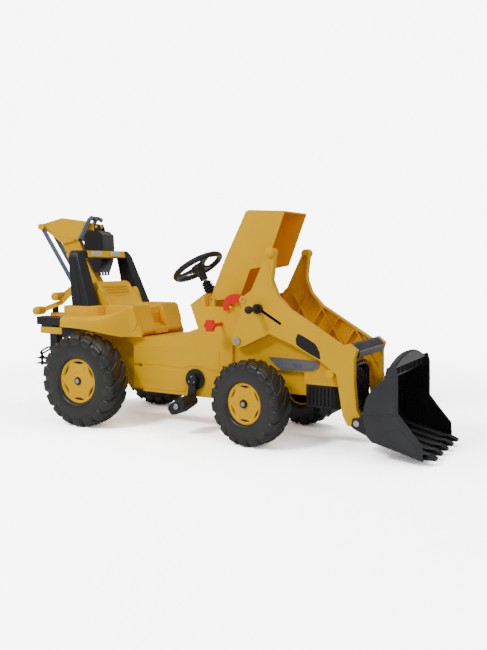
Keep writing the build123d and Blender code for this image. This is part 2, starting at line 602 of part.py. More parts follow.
# ---- loader --------------------------------------------------------------------------------------
for side_name, side in (("right", -1), ("left", 1)):
    outer = side * ARM_OUTER
    inward = side * (ARM_OUTER - ARM_INNER)
    with BuildPart() as arm:
        plate(side_plane(outer), in_arm_outline(), inward)
        disc(side_plane(outer), ARM_EYE, 13, inward)
        disc(side_plane(side * (ARM_OUTER + 3)), (660, 577), 14, side * 27)
        # open channel on the inner face, crossed by ribs
        with BuildSketch(side_plane(outer - side * ARM_SKIN)) as channel:
            with BuildLine():
                Polyline(*in_arm_outline(), close=True)
            make_face()
            offset(amount=-5, kind=Kind.INTERSECTION)
            for rib_x in range(606, 900, 76):
                with Locations((rib_x, 340)):
                    Rectangle(4, 250, rotation=32, mode=Mode.SUBTRACT)
                    Rectangle(4, 250, rotation=-32, mode=Mode.SUBTRACT)
            for boss, boss_r in ((ARM_PIVOT, 20), (ARM_EYE, 13), (BUCKET_PIVOT, 16),
                                 ((907, 301), 10)):
                with Locations(boss):
                    Circle(boss_r, mode=Mode.SUBTRACT)
        extrude(channel.sketch, amount=side * 40, mode=Mode.SUBTRACT)
        # room for the latch beside the eye, and for its peg as the arm lifts
        with BuildSketch(side_plane(side * (ARM_INNER + 11))) as latch_room:
            with Locations(ARM_EYE):
                Circle(17)
            with Locations(ARM_PIVOT):
                Circle(150)
            with Locations(ARM_PIVOT):
                Circle(99, mode=Mode.SUBTRACT)
            with Locations((ARM_PIVOT[0] + 162, ARM_PIVOT[1] + 40)):
                Rectangle(200, 400, mode=Mode.SUBTRACT)
            with Locations((ARM_PIVOT[0], ARM_PIVOT[1] - 100)):
                Rectangle(400, 200, mode=Mode.SUBTRACT)
        extrude(latch_room.sketch, amount=side * 14, mode=Mode.SUBTRACT)
        for hole, hole_r in ((ARM_PIVOT, AXLE_R + SPIN_FIT), (ARM_EYE, 4), (BUCKET_PIVOT, 6)):
            disc(side_plane(side * (ARM_OUTER + 1)), hole, hole_r, side * 24, mode=Mode.SUBTRACT)
        if side < 0:
            bars(side_plane(outer - 1), LEVER_SLOT, 9, -30, mode=Mode.SUBTRACT)
            bars(side_plane(outer + ARM_SKIN), LEVER_SLOT, 26, -24, mode=Mode.SUBTRACT)
    save(arm, f"loader_arm_{side_name}")

with BuildPart() as cross_member:
    plate(side_plane(), [(897, 302), (902, 317), (916, 314), (929.5, 298), (929.5, 276), (914, 276)],
          ARM_INNER - 0.1, both=True)
save(cross_member, "cross_member")
with BuildPart() as cross_strip:
    plate(side_plane(), [(929.6, 278), (929.6, 297), (934, 294), (934, 281)], 105, both=True)
save(cross_strip, "cross_strip")

with BuildPart() as pivot_bolts:
    for side in (-1, 1):
        disc(side_plane(side * (ARM_INNER - FACE_GAP)), ARM_PIVOT, AXLE_R, -side * 24)
        disc(side_plane(side * (ARM_OUTER + FACE_GAP)), ARM_PIVOT, 12, -side * 5)
save(pivot_bolts, "pivot_bolts")

with BuildPart() as loader_pins:
    for side in (-1, 1):
        disc(side_plane(side * ARM_INNER), BUCKET_PIVOT, 6, -side * 30)
        disc(side_plane(side * (ARM_OUTER + 7.6)), BUCKET_PIVOT, 9, -side * 4)
        disc(side_plane(side * ARM_INNER), ARM_EYE, 4, -side * (ARM_OUTER - ARM_INNER))
save(loader_pins, "loader_pins")

for side_name, side in (("right", -1), ("left", 1)):
    latch_in = ARM_INNER + 0.4
    with BuildPart() as latch:
        with BuildSketch(side_plane(side * latch_in)) as latch_face:
            with BuildLine():
                Polyline((574, 426), (572, 443), (556, 447), (530, 452), (508, 447), (490, 432),
                         (487, 412), (492, 398), (505, 401), (508, 410), (515, 419.5), (535, 424),
                         (556, 427), close=True)
            make_face()
            fillet(latch_face.vertices(), 2)
            with Locations(ARM_EYE):
                Circle(10)
                Circle(4 + SPIN_FIT, mode=Mode.SUBTRACT)
        extrude(latch_face.sketch, amount=-side * 9.5)
    save(latch, f"latch_{side_name}")

with BuildPart() as lock_handle:
    disc(side_plane(-BODY_HALF - FACE_GAP), LOCK_HANDLE, 6, 66)
    with BuildSketch(side_plane(-BODY_HALF - 62)) as knob:
        with Locations(LOCK_HANDLE):
            Circle(16)
            with PolarLocations(14, 6):
                Circle(6)
    extrude(knob.sketch, amount=13)
    fillet(lock_handle.faces().sort_by(Axis.Y)[0].edges(), 2)
save(lock_handle, "lock_handle")

slot_top = LEVER_SLOT[0]
with BuildPart() as bucket_lever:
    disc(side_plane(-(ARM_INNER + 6)), slot_top, 4, 72)
    disc(side_plane(-(ARM_OUTER + FACE_GAP)), slot_top, 15, 13)
    disc(side_plane(-(ARM_INNER + 6)), slot_top, 11, 10)
    disc(side_plane(-(ARM_OUTER + 12)), slot_top, 8, 42)
    with Locations((REAR_AXLE_X + slot_top[0], -(ARM_OUTER + 62), slot_top[1])):
        Sphere(12)
save(bucket_lever, "bucket_lever")

# ---- loader bucket ---------------------------------------------------------------------------------
bucket_side = [(977, 66), (992, 52), (1067, 34), (1134, 16), (1131, 60), (1061, 136), (1059, 247),
               (1052, 272), (1030, 262), (1024, 230), (992, 206), (972, 170), (964, 124)]
bucket_inner = [(981, 70), (994, 57), (1068, 39), (1150, 17), (1150, 400), (1048, 400), (1046, 262),
                (1034, 258), (1029, 227), (996, 203), (976, 168), (968, 124)]
with BuildPart() as bucket:
    plate(side_plane(), bucket_side, BUCKET_HALF, both=True)
    plate(side_plane(), bucket_inner, BUCKET_HALF - BUCKET_WALL, both=True, mode=Mode.SUBTRACT)
    with BuildSketch(cross_plane(1032)) as arch:
        with BuildLine():
            ThreePointArc((-150, 262), (0, 292), (150, 262))
            Line((150, 262), (-150, 262))
        make_face()
    extrude(arch.sketch, amount=20)
    for side in (-1, 1):
        plate(side_plane(side * (ARM_OUTER + 1)), [(922, 84), (934, 76), (985, 56), (985, 150),
                                                   (966, 140), (946, 112), (926, 108)],
              -side * 6, corner=3)
        disc(side_plane(side * (ARM_OUTER + 1)), BUCKET_PIVOT, 6 + SPIN_FIT, -side * 6,
             mode=Mode.SUBTRACT)
    for tooth in range(5):
        tooth_y = -121 + tooth * 60.5
        plate(side_plane(tooth_y + 13), [(1118, 22), (1134, 14), (1162, 15), (1162, 21), (1140, 30),
                                         (1118, 30)], 26)
save(bucket, "bucket")

# ---- rear frame and hitch -----------------------------------------------------------------------------
BRACKET = (SLEW_POST_X - 18, SLEW_POST_X + 18)
with BuildPart() as rear_frame:
    plate(side_plane(), [(BRACKET[0], 150), (-150.2, 150), (-150.2, 175), (BRACKET[0], 175)], 22,
          both=True)
    plate(side_plane(), [(BRACKET[0], 150), (BRACKET[1], 150), (BRACKET[1], 300),
                         (BRACKET[0], 300)], 16, both=True)
    for jaw_z in (156, 176):
        plate(top_plane(jaw_z), [(BRACKET[0] + 1, -20), (-420, -20), (-427, -12), (-427, 12),
                                 (-420, 20), (BRACKET[0] + 1, 20)], 4)
        disc(top_plane(jaw_z), (HITCH_PIN_X, 0), 5 + SPIN_FIT, 4, mode=Mode.SUBTRACT)
    disc(top_plane(299), (SLEW_POST_X, 0), 12, 92)
save(rear_frame, "rear_frame")

with BuildPart() as hitch_pin:
    disc(top_plane(148), (HITCH_PIN_X, 0), 5, 52)
    disc(top_plane(180.3), (HITCH_PIN_X, 0), 8, 4)
    with Locations((REAR_AXLE_X + HITCH_PIN_X + 22, 0, 200)):
        Torus(22, 3)
save(hitch_pin, "hitch_pin")

# ---- backhoe ---------------------------------------------------------------------------------------------
EAR_IN = BOOM_HALF + 0.6
EAR_THICK = 4.0
STRAP_IN = EAR_IN + EAR_THICK + 1.4
STRAP_THICK = 4.0
LEVER_IN = STRAP_IN + STRAP_THICK + 1.0
LEVER_THICK = 6.0
ROD_PIN = (BOOM_FOOT[0] + STICK_TAIL[0] - BOOM_HEAD[0], BOOM_FOOT[1] + STICK_TAIL[1] - BOOM_HEAD[1])
with BuildPart() as swing_frame:
    disc(top_plane(305), (SLEW_POST_X, 0), 20, 53)
    plate(slew_plane(), [(10, 320), (10, 358), (212, 358), (212, 320)], 18, both=True)
    for side in (-1, 1):
        plate(slew_plane(side * EAR_IN), [(150, 320), (212, 320), (209, 426), (168, 426)],
              -side * EAR_THICK, corner=8)
        plate(slew_plane(side * 17), [(150, 322), (212, 322), (212, 350), (150, 350)], -side * 10)
    disc(top_plane(305), (SLEW_POST_X, 0), 12 + SPIN_FIT, 60, mode=Mode.SUBTRACT)
    disc(slew_plane(-(LEVER_IN + LEVER_THICK + 1)), BOOM_FOOT, 8,
         -(2 * EAR_IN + 2 * EAR_THICK + LEVER_IN - EAR_IN + 4))
save(swing_frame, "swing_frame")

GRIP_BOOM = (31.0, 421.0)
GRIP_STICK = (-34.0, 368.0)
GRIP_R = 15.0
with BuildPart() as boom:
    plate(slew_plane(), [(62, 580), (126, 453), (150, 412), (172, 390), (208, 390), (222, 418),
                         (192, 477), (147, 553), (132, 580)], BOOM_HALF, both=True)
    plate(slew_plane(), [(31, 640), (62, 578), (132, 578), (110, 636), (80, 660), (40, 664)],
          TONGUE_HALF, both=True)
    disc(slew_plane(), BOOM_HEAD, 8 + SPIN_FIT, 40, both=True, mode=Mode.SUBTRACT)
    disc(slew_plane(), BOOM_FOOT, 8 + SPIN_FIT, 40, both=True, mode=Mode.SUBTRACT)
save(boom, "boom")

with BuildPart() as boom_lever:
    bars(slew_plane(8), [(116, 480), GRIP_BOOM], 16, 16)
    disc(slew_plane(8), GRIP_BOOM, GRIP_R, 70)
    plate(slew_plane(), [(62, 580), (126, 453), (150, 412), (172, 390), (208, 390), (222, 418),
                         (192, 477), (147, 553), (132, 580)], BOOM_HALF, both=True,
          mode=Mode.SUBTRACT)
save(boom_lever, "boom_lever")

with BuildPart() as stick:
    for side in (-1, 1):
        plate(slew_plane(side * (TONGUE_HALF + 0.6)), [
            (-42, 672), (-36, 692), (48, 714), (134, 702), (150, 694), (150, 668), (136, 640),
            (120, 624), (104, 634), (88, 626), (50, 618), (28, 634), (-20, 668)],
              -side * (BOOM_HALF - TONGUE_HALF - 0.6), corner=4)
    plate(slew_plane(), [(-36, 676), (-34, 690), (48, 712), (134, 700), (148, 692), (148, 678),
                         (100, 684), (40, 684), (-10, 672)], TONGUE_HALF + 0.6, both=True)
    plate(slew_plane(), [(140, 670), (140, 698), (176, 692), (196, 688), (196, 674), (176, 669)], 12,
          both=True)
    disc(slew_plane(), BOOM_HEAD, 8, BOOM_HALF, both=True)
    disc(slew_plane(), STICK_TAIL, 5, STRAP_IN + STRAP_THICK + FACE_GAP, both=True)
    for side in (-1, 1):
        disc(slew_plane(side * (STRAP_IN + STRAP_THICK + FACE_GAP)), STICK_TAIL, 12, -side * 8)
    disc(slew_plane(), DIGGER_PIN, 5, 21, both=True)
save(stick, "stick")

with BuildPart() as bucket_yoke:
    for side in (-1, 1):
        bars(slew_plane(side * (BOOM_HALF + 0.1)), [(122, 632), (168, 712), (200, 704)], 17,
             -side * 4)
    plate(slew_plane(), [(140, 700.5), (150, 712), (164, 716), (164, 704), (152, 696)],
          BOOM_HALF + 0.1, both=True)
    plate(slew_plane(), [(-36, 676), (-34, 690), (48, 712), (134, 702.5), (152, 696), (148, 678),
                         (100, 684)], TONGUE_HALF + 30, both=True, mode=Mode.SUBTRACT)
save(bucket_yoke, "bucket_yoke")

with BuildPart() as digger_bucket:
    plate(slew_plane(), [(152, 650), (178, 665), (206, 665), (224, 649), (226, 600), (220, 550),
                         (206, 511), (190, 511), (165, 560), (150, 610)], 50, both=True)
    plate(slew_plane(), [(140, 700), (181, 700), (181, 660.5), (205, 660.5), (218.5, 646),
                         (222.5, 600), (216, 550), (203, 505), (140, 505)], 46.5, both=True,
          mode=Mode.SUBTRACT)
    for side in (-1, 1):
        plate(slew_plane(side * 13), [(176, 662), (206, 662), (196, 690), (176, 690)], -side * 7,
              corner=3)
        disc(slew_plane(side * 13), DIGGER_PIN, 5 + SPIN_FIT, -side * 7, mode=Mode.SUBTRACT)
    for tooth_n in (-36, -12, 12, 36):
        plate(slew_plane(tooth_n + 6), [(203, 514), (207, 512), (208, 499), (203, 499)], 12)
save(digger_bucket, "digger_bucket")

with BuildPart() as stick_rods:
    for side in (-1, 1):
        bars(slew_plane(side * STRAP_IN), [STICK_TAIL, ROD_PIN], 17, -side * STRAP_THICK)
        disc(slew_plane(side * STRAP_IN), STICK_TAIL, 5 + SPIN_FIT, -side * STRAP_THICK,
             mode=Mode.SUBTRACT)
        disc(slew_plane(side * STRAP_IN), ROD_PIN, 6.5, -side * STRAP_THICK, mode=Mode.SUBTRACT)
save(stick_rods, "stick_rods")

with BuildPart() as stick_lever:
    bars(slew_plane(-LEVER_IN), [BOOM_FOOT, ROD_PIN, (45, 398), GRIP_STICK], 18, LEVER_THICK)
    disc(slew_plane(-LEVER_IN), BOOM_FOOT, 15, LEVER_THICK)
    disc(slew_plane(-LEVER_IN), BOOM_FOOT, 8 + SPIN_FIT, LEVER_THICK, mode=Mode.SUBTRACT)
    disc(slew_plane(-LEVER_IN - LEVER_THICK), ROD_PIN, 5, -(2 * LEVER_IN + LEVER_THICK))
    disc(slew_plane(-LEVER_IN), GRIP_STICK, GRIP_R, 50)
save(stick_lever, "stick_lever")
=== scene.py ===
import json
from math import atan2, cos, hypot, pi, radians, sin, tan

import bmesh
import bpy
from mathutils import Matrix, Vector


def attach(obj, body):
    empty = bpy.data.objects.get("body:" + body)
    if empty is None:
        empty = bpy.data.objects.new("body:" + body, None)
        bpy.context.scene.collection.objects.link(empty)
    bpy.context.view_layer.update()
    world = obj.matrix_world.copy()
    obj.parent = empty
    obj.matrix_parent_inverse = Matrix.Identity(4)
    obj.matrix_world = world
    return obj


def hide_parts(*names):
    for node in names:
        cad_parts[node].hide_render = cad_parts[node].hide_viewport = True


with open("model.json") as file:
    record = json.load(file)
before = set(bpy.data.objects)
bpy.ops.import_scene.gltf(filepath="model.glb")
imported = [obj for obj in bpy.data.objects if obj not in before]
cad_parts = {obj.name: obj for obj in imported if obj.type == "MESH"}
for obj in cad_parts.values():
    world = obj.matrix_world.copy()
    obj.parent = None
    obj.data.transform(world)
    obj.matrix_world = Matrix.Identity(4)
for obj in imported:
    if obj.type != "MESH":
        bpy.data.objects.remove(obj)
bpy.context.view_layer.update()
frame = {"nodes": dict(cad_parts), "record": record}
nodes = frame["nodes"]

# ---- measures, in millimetres from the rear axle ----------------------------------------
AXLE = -367.5                         # the rear axle, ahead of the frame's origin
REAR_R, REAR_HALF, REAR_Y = 155, 47, 215
FRONT_R, FRONT_HALF = 130, 40
KING_PIN = (625, 120)                 # ahead of the rear axle, and out from the middle
STUB = 57                             # king pin to the middle of a front wheel
STEER = radians(-10)
SLEW = radians(15)
POST_X = -335                         # slewing post of the backhoe
HUB = (316, 533)                      # steering wheel hub
TILT = Vector((-0.529, 0, 0.849))     # up the steering column
REAR_OF_WHEEL = Vector((-0.849, 0, -0.529))
BODY_SIDE, TRIM_SIDE = 109.5, 100.2
BOLSTER_SIDES, FENDER_INNER = (108, 134), 113.5
ROLL_FOOT, ROLL_RISE = 400.3, 190.2
ARM_SIDE, BUCKET_SIDE = 133.5, 163
CRANK = (378, 172)
PEDAL_LEAN = radians(36)
HITCH_X = -412
RING_TILT = radians(38)
HANDS = (("right", -1), ("left", 1))  # name of each side, and its direction from the middle


def mm(x, y, z):
    return Vector(((x + AXLE) / 1000, y / 1000, z / 1000))


def slew(u, n, z):
    """Point of the backhoe: u forward from its post, n to the left, z up."""
    return mm(POST_X + u * cos(SLEW) - n * sin(SLEW), u * sin(SLEW) + n * cos(SLEW), z)


def side(a, b, h):
    """Outline point (x, z) at distance h left of the middle."""
    return mm(a, h, b)


def level(a, b, h):
    """Outline point (x, y) at height h."""
    return mm(a, b, h)


def across(a, b, h):
    """Outline point (y, z) at distance h ahead of the rear axle."""
    return mm(h, a, b)


def hoe(a, b, h):
    """Backhoe outline point (u, z) at distance h left of its middle."""
    return slew(a, h, b)


def column(a, b, h):
    """Point on the steering column: a to the left, b to the rear, h up from the hub."""
    return mm(HUB[0], 0, HUB[1]) + (Vector((0, 1, 0)) * a + REAR_OF_WHEEL * b + TILT * h) / 1000


# ---- materials ---------------------------------------------------------------------------
def plastic(name, dark, light, rough=(0.3, 0.42), grain=900.0, bump=0.04, metallic=0.0,
            patch=9.0, coat=0.0, lumps=0.0, shine=0.3):
    mat = bpy.data.materials.new(name)
    mat.use_nodes = True
    nt = mat.node_tree
    shader = nt.nodes["Principled BSDF"]
    place = nt.nodes.new("ShaderNodeTexCoord")

    def noise(scale, detail):
        n = nt.nodes.new("ShaderNodeTexNoise")
        n.inputs["Scale"].default_value = scale
        n.inputs["Detail"].default_value = detail
        nt.links.new(place.outputs["Object"], n.inputs["Vector"])
        return n

    cloud = noise(patch, 4)
    ramp = nt.nodes.new("ShaderNodeValToRGB")
    ramp.color_ramp.elements[0].position = 0.3
    ramp.color_ramp.elements[0].color = (*dark, 1)
    ramp.color_ramp.elements[1].position = 0.7
    ramp.color_ramp.elements[1].color = (*light, 1)
    nt.links.new(cloud.outputs["Fac"], ramp.inputs["Fac"])
    nt.links.new(ramp.outputs["Color"], shader.inputs["Base Color"])
    smear = noise(patch * 3.1, 6)
    spread = nt.nodes.new("ShaderNodeMapRange")
    spread.inputs["From Min"].default_value = 0.3
    spread.inputs["From Max"].default_value = 0.7
    spread.inputs["To Min"].default_value = rough[0]
    spread.inputs["To Max"].default_value = rough[1]
    nt.links.new(smear.outputs["Fac"], spread.inputs["Value"])
    nt.links.new(spread.outputs["Result"], shader.inputs["Roughness"])
    fine = noise(grain, 3)
    relief = nt.nodes.new("ShaderNodeBump")
    relief.inputs["Strength"].default_value = bump
    relief.inputs["Distance"].default_value = 0.0006
    nt.links.new(fine.outputs["Fac"], relief.inputs["Height"])
    last = relief
    if lumps:
        wave = noise(22, 2)
        soft = nt.nodes.new("ShaderNodeBump")
        soft.inputs["Strength"].default_value = lumps
        soft.inputs["Distance"].default_value = 0.004
        nt.links.new(wave.outputs["Fac"], soft.inputs["Height"])
        nt.links.new(relief.outputs["Normal"], soft.inputs["Normal"])
        last = soft
    nt.links.new(last.outputs["Normal"], shader.inputs["Normal"])
    shader.inputs["Metallic"].default_value = metallic
    shader.inputs["Coat Weight"].default_value = coat
    shader.inputs["Specular IOR Level"].default_value = shine
    return mat


YELLOW = plastic("yellow_moulding", (0.82, 0.445, 0.0), (0.88, 0.48, 0.001), (0.34, 0.46),
                 1400, 0.03, lumps=0.05, shine=0.12)
# the body's yellow darkened to orange: painted shade, used on the bonnet's inner faces
SHADED_YELLOW = plastic("yellow_in_painted_shade", (0.93, 0.41, 0.0), (0.96, 0.43, 0.001), (0.38, 0.50),
                 1400, 0.04, lumps=0.05, shine=0.12)
# black: own colour of most black parts; also painted shade as the sheet under each fender
BLACK_AND_SHADE = plastic("black_moulding_and_painted_shade", (0.012, 0.012, 0.013), (0.021, 0.021, 0.023), (0.30, 0.46),
                1700, 0.10)
TYRE = plastic("tyre_plastic", (0.014, 0.014, 0.013), (0.022, 0.022, 0.020), (0.30, 0.44),
               700, 0.10, shine=0.5)
BUCKET = plastic("bucket_plastic", (0.030, 0.031, 0.034), (0.044, 0.045, 0.049), (0.32, 0.46),
                 1500, 0.08)
GREY = plastic("grey_trim", (0.13, 0.134, 0.142), (0.165, 0.17, 0.18), (0.38, 0.5), 1500, 0.06)
ROD = plastic("rod_plastic", (0.085, 0.105, 0.16), (0.115, 0.145, 0.21), (0.34, 0.46), 1300, 0.05)
RED = plastic("red_moulding", (0.74, 0.010, 0.002), (0.84, 0.016, 0.004), (0.30, 0.42), 1300, 0.03)
STEEL = plastic("zinc_steel", (0.34, 0.34, 0.35), (0.50, 0.50, 0.51), (0.26, 0.44), 500, 0.08,
                metallic=1.0, patch=30)
LAMP = plastic("lamp_lens", (0.62, 0.60, 0.55), (0.80, 0.78, 0.72), (0.14, 0.24), 900, 0.05)
DECAL = plastic("decal_black", (0.010, 0.010, 0.011), (0.016, 0.016, 0.018), (0.24, 0.34), 1200,
                0.03)
# jet black: own colour of the digger bucket, grille and tail lights; painted shade inside the
# loader bucket
JET_AND_SHADE = plastic("jet_black_and_painted_shade", (0.005, 0.005, 0.006), (0.010, 0.010, 0.011), (0.22, 0.34), 1500,
              0.05, shine=0.5)
# near-black painted shade for hollows: behind the wheel discs, in the tilt lever's slot, in the
# bucket lip's pockets
PAINTED_SHADE = plastic("deep_shadow", (0.003, 0.003, 0.003), (0.006, 0.006, 0.006), (0.7, 0.85), 500, 0.1,
               shine=0.1)

by_slot = {"body_yellow": YELLOW, "bonnet_orange": SHADED_YELLOW, "black_plastic": BLACK_AND_SHADE,
           "tyre_black": TYRE, "bucket_grey": BUCKET, "trim_grey": GREY, "rod_grey": ROD,
           "latch_red": RED, "steel": STEEL, "lamp_white": LAMP}
slot_of = {s["node"]: s["material_slot"] for s in frame["record"]["subparts"]}
material_slot = {mat.name: name for name, mat in by_slot.items()}


# ---- mesh helpers ------------------------------------------------------------------------
def finish_piece(obj, mat, body, slot=None, replaces=(), bevel=0.0, steps=2, limit=32,
                 subsurf=0):
    if not obj.data.materials:
        obj.data.materials.append(mat)
    if subsurf:
        smooth = obj.modifiers.new("soft", "SUBSURF")
        smooth.levels = smooth.render_levels = subsurf
    if bevel:
        edge = obj.modifiers.new("edges", "BEVEL")
        edge.width = bevel / 1000
        edge.segments = steps
        edge.limit_method = "ANGLE"
        edge.angle_limit = radians(limit)
        edge.use_clamp_overlap = True
        edge.miter_outer = "MITER_ARC"
    if not subsurf:
        normals = obj.modifiers.new("normals", "WEIGHTED_NORMAL")
        normals.keep_sharp = True
        normals.weight = 80
    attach(obj, body)
    slot or material_slot.get(mat.name, "black_plastic")
    if replaces:
        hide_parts(*replaces)
    return obj


def mesh_object(name, verts, faces, smooth=True):
    mesh = bpy.data.meshes.new(name)
    mesh.from_pydata([tuple(v) for v in verts], [], faces)
    bm = bmesh.new()
    bm.from_mesh(mesh)
    bmesh.ops.remove_doubles(bm, verts=bm.verts, dist=1e-6)
    bmesh.ops.recalc_face_normals(bm, faces=bm.faces)
    bm.to_mesh(mesh)
    bm.free()
    for face in mesh.polygons:
        face.use_smooth = smooth
    obj = bpy.data.objects.new(name, mesh)
    bpy.context.scene.collection.objects.link(obj)
    return obj


def rounded(points, radius, steps=5):
    """Closed outline with its corners rounded; radius is one number or one for each corner."""
    out = []
    count = len(points)
    for i, (x, y) in enumerate(points):
        r = radius if isinstance(radius, (int, float)) else radius[i]
        ax, ay = points[i - 1][0] - x, points[i - 1][1] - y
        bx, by = points[(i + 1) % count][0] - x, points[(i + 1) % count][1] - y
        la, lb = hypot(ax, ay), hypot(bx, by)
        if r <= 0 or min(la, lb) < 1e-6:
            out.append((x, y))
            continue
        ax, ay, bx, by = ax / la, ay / la, bx / lb, by / lb
        half = 0.5 * abs(atan2(ax * by - ay * bx, ax * bx + ay * by))
        if half > pi / 2 - 0.03:
            out.append((x, y))
            continue
        cut = min(r / tan(half), 0.48 * la, 0.48 * lb)
        for k in range(steps + 1):
            t = k / steps
            p = (x + ax * cut * (1 - t) ** 2 + bx * cut * t ** 2,
                 y + ay * cut * (1 - t) ** 2 + by * cut * t ** 2)
            out.append(p)
    return out


def slab(name, outline, place, low, high, mat, body, **kw):
    """An outline drawn out between two distances along the place's own normal."""
    count = len(outline)
    verts = [place(a, b, low) for a, b in outline] + [place(a, b, high) for a, b in outline]
    faces = [tuple(range(count)), tuple(range(2 * count - 1, count - 1, -1))]
    faces += [(i, i + count, (i + 1) % count + count, (i + 1) % count) for i in range(count)]
    return finish_piece(mesh_object(name, verts, faces), mat, body, **kw)


def loft(name, sections, mat, body, ring=False, **kw):
    """Skin over closed sections with equal numbers of points."""
    count, rows = len(sections[0]), len(sections)
    verts = [p for s in sections for p in s]
    faces = []
    for r in range(rows if ring else rows - 1):
        a, b = r * count, ((r + 1) % rows) * count
        faces += [(a + i, a + (i + 1) % count, b + (i + 1) % count, b + i) for i in range(count)]
    if not ring:
        faces += [tuple(range(count)), tuple(range((rows - 1) * count, rows * count))]
    return finish_piece(mesh_object(name, verts, faces), mat, body, **kw)


def lathe_data(profile, place, steps=64, turn=0.0):
    """Points and faces of a closed (radius, height) profile turned about the place's normal."""
    verts, faces, count = [], [], len(profile)
    for k in range(steps):
        angle = turn + 2 * pi * k / steps
        verts += [place(r * cos(angle), r * sin(angle), h) for r, h in profile]
    for k in range(steps):
        a, b = k * count, ((k + 1) % steps) * count
        faces += [(a + i, a + (i + 1) % count, b + (i + 1) % count, b + i)
                  for i in range(count)]
    return verts, faces


def lathe(name, profile, place, mat, body, steps=64, **kw):
    verts, faces = lathe_data(profile, place, steps)
    return finish_piece(mesh_object(name, verts, faces), mat, body, **kw)


def tube(name, path, radius, mat, body, steps=16, **kw):
    """Round bar along a path of points, capped at both ends; radius in millimetres."""
    sections = []
    previous = Vector((0.3, 0.5, 0.8))
    for i, p in enumerate(path):
        ahead = (path[min(i + 1, len(path) - 1)] - path[max(i - 1, 0)]).normalized()
        across_it = (previous - ahead * previous.dot(ahead)).normalized()
        up = ahead.cross(across_it)
        previous = across_it
        r = (radius if isinstance(radius, (int, float)) else radius[i]) / 1000
        angles = [2 * pi * k / steps for k in range(steps)]
        sections.append([p + (across_it * cos(a) + up * sin(a)) * r for a in angles])
    return loft(name, sections, mat, body, **kw)


def cut_plate(name, loops, place, low, high, mat, body, edge=1.0, **kw):
    """Flat plate with holes: the first loop is its outline and the others are openings."""
    curve = bpy.data.curves.new(name, "CURVE")
    curve.dimensions = "2D"
    curve.fill_mode = "BOTH"
    curve.extrude = max(high - low - 2 * edge, 0.2) / 2000
    curve.bevel_depth = edge / 1000
    curve.bevel_resolution = 2
    for loop in loops:
        line = curve.splines.new("POLY")
        line.points.add(len(loop) - 1)
        for point, (a, b) in zip(line.points, loop):
            point.co = (a / 1000, b / 1000, 0, 1)
        line.use_cyclic_u = True
    shape = bpy.data.objects.new(name + "_line", curve)
    bpy.context.scene.collection.objects.link(shape)
    bpy.context.view_layer.update()
    mesh = bpy.data.meshes.new_from_object(shape.evaluated_get(
        bpy.context.evaluated_depsgraph_get()))
    bpy.data.objects.remove(shape)
    middle = (low + high) / 2
    for v in mesh.vertices:
        v.co = place(v.co.x * 1000, v.co.y * 1000, v.co.z * 1000 + middle)
    bm = bmesh.new()
    bm.from_mesh(mesh)
    bmesh.ops.remove_doubles(bm, verts=bm.verts, dist=1e-6)
    bmesh.ops.recalc_face_normals(bm, faces=bm.faces)
    bm.to_mesh(mesh)
    bm.free()
    for face in mesh.polygons:
        face.use_smooth = True
    mesh.materials.clear()
    obj = bpy.data.objects.new(name, mesh)
    bpy.context.scene.collection.objects.link(obj)
    return finish_piece(obj, mat, body, **kw)


def circle(x, y, r, steps=32):
    return [(x + r * cos(2 * pi * k / steps), y + r * sin(2 * pi * k / steps))
            for k in range(steps)]


# ---- CAD nodes: clean faces, soft edges, materials -----------------------------------------
soft_edge = {"chassis_body": 2.2, "seat": 2.5, "fender_deck": 2.2, "roll_bar": 3.0,
             "nose_bumper": 1.5, "nose_grille": 1.0, "boom": 3.0, "boom_lever": 2.0,
             "stick": 1.2, "swing_frame": 1.2, "cross_member": 2.0, "bucket": 1.0,
             "lock_handle": 1.0, "rear_frame": 1.0, "bonnet": 0.9, "tail_lights": 2.0}
# second colour of some nodes: painted shade inside the loader bucket, plain yellow outside the
# bonnet, the digger bucket's own jet black
inside_of = {"bucket": JET_AND_SHADE, "bonnet": YELLOW, "digger_bucket": JET_AND_SHADE}
for name, node in nodes.items():
    slot_name = slot_of[name]
    node.data.materials.clear()
    node.data.materials.append(by_slot[slot_name])
    weld = node.modifiers.new("weld", "WELD")
    weld.merge_threshold = 1e-6
    flat = node.modifiers.new("flat", "DECIMATE")
    flat.decimate_type = "DISSOLVE"
    flat.angle_limit = radians(1.5)
    edge = node.modifiers.new("edges", "BEVEL")
    edge.width = soft_edge.get(name, 0.7) / 1000
    edge.segments = 3 if soft_edge.get(name, 0) > 1.5 else 2
    edge.limit_method = "ANGLE"
    edge.angle_limit = radians(28)
    node.data.materials.append(inside_of.get(name, by_slot[slot_name]))
    for face in node.data.polygons:
        face.use_smooth = True
        spot = node.matrix_world @ face.center
        inner = (node.matrix_world.to_3x3() @ face.normal).normalized()
        # loader bucket: faces inside it are painted jet black as shade in its hollow; its outside
        # keeps its own dark grey
        if name == "bucket" and abs(spot.y) < 0.1595 and (inner.x > 0.05 or inner.z > 0.3
                                                          or abs(inner.y) > 0.9):
            face.material_index = 1
        if name == "digger_bucket":
            face.material_index = 1
        # bonnet: outer faces take the plain yellow; inner faces keep the orange, painted shade of
        # the same yellow moulding
        if name == "bonnet" and not (abs(spot.y) < 0.0775 and (
                inner.x > 0.3 or inner.z < -0.5 or abs(inner.y) > 0.9)):
            face.material_index = 1
    normals = node.modifiers.new("normals", "WEIGHTED_NORMAL")
    normals.keep_sharp = True

# ---- wheels ----------------------------------------------------------------------------------
LUGS = 18


def wheel_place(centre, outward):
    """Mapping from a wheel's own disc to the frame; the third number is outward."""
    out = Vector(outward).normalized()
    forward = Vector((0, 0, 1)).cross(out)
    if forward.x < 0:
        forward = -forward
    up = Vector((0, 0, 1))

    def place(a, b, h):
        return centre + (forward * a + up * b + out * h) / 1000
    return place


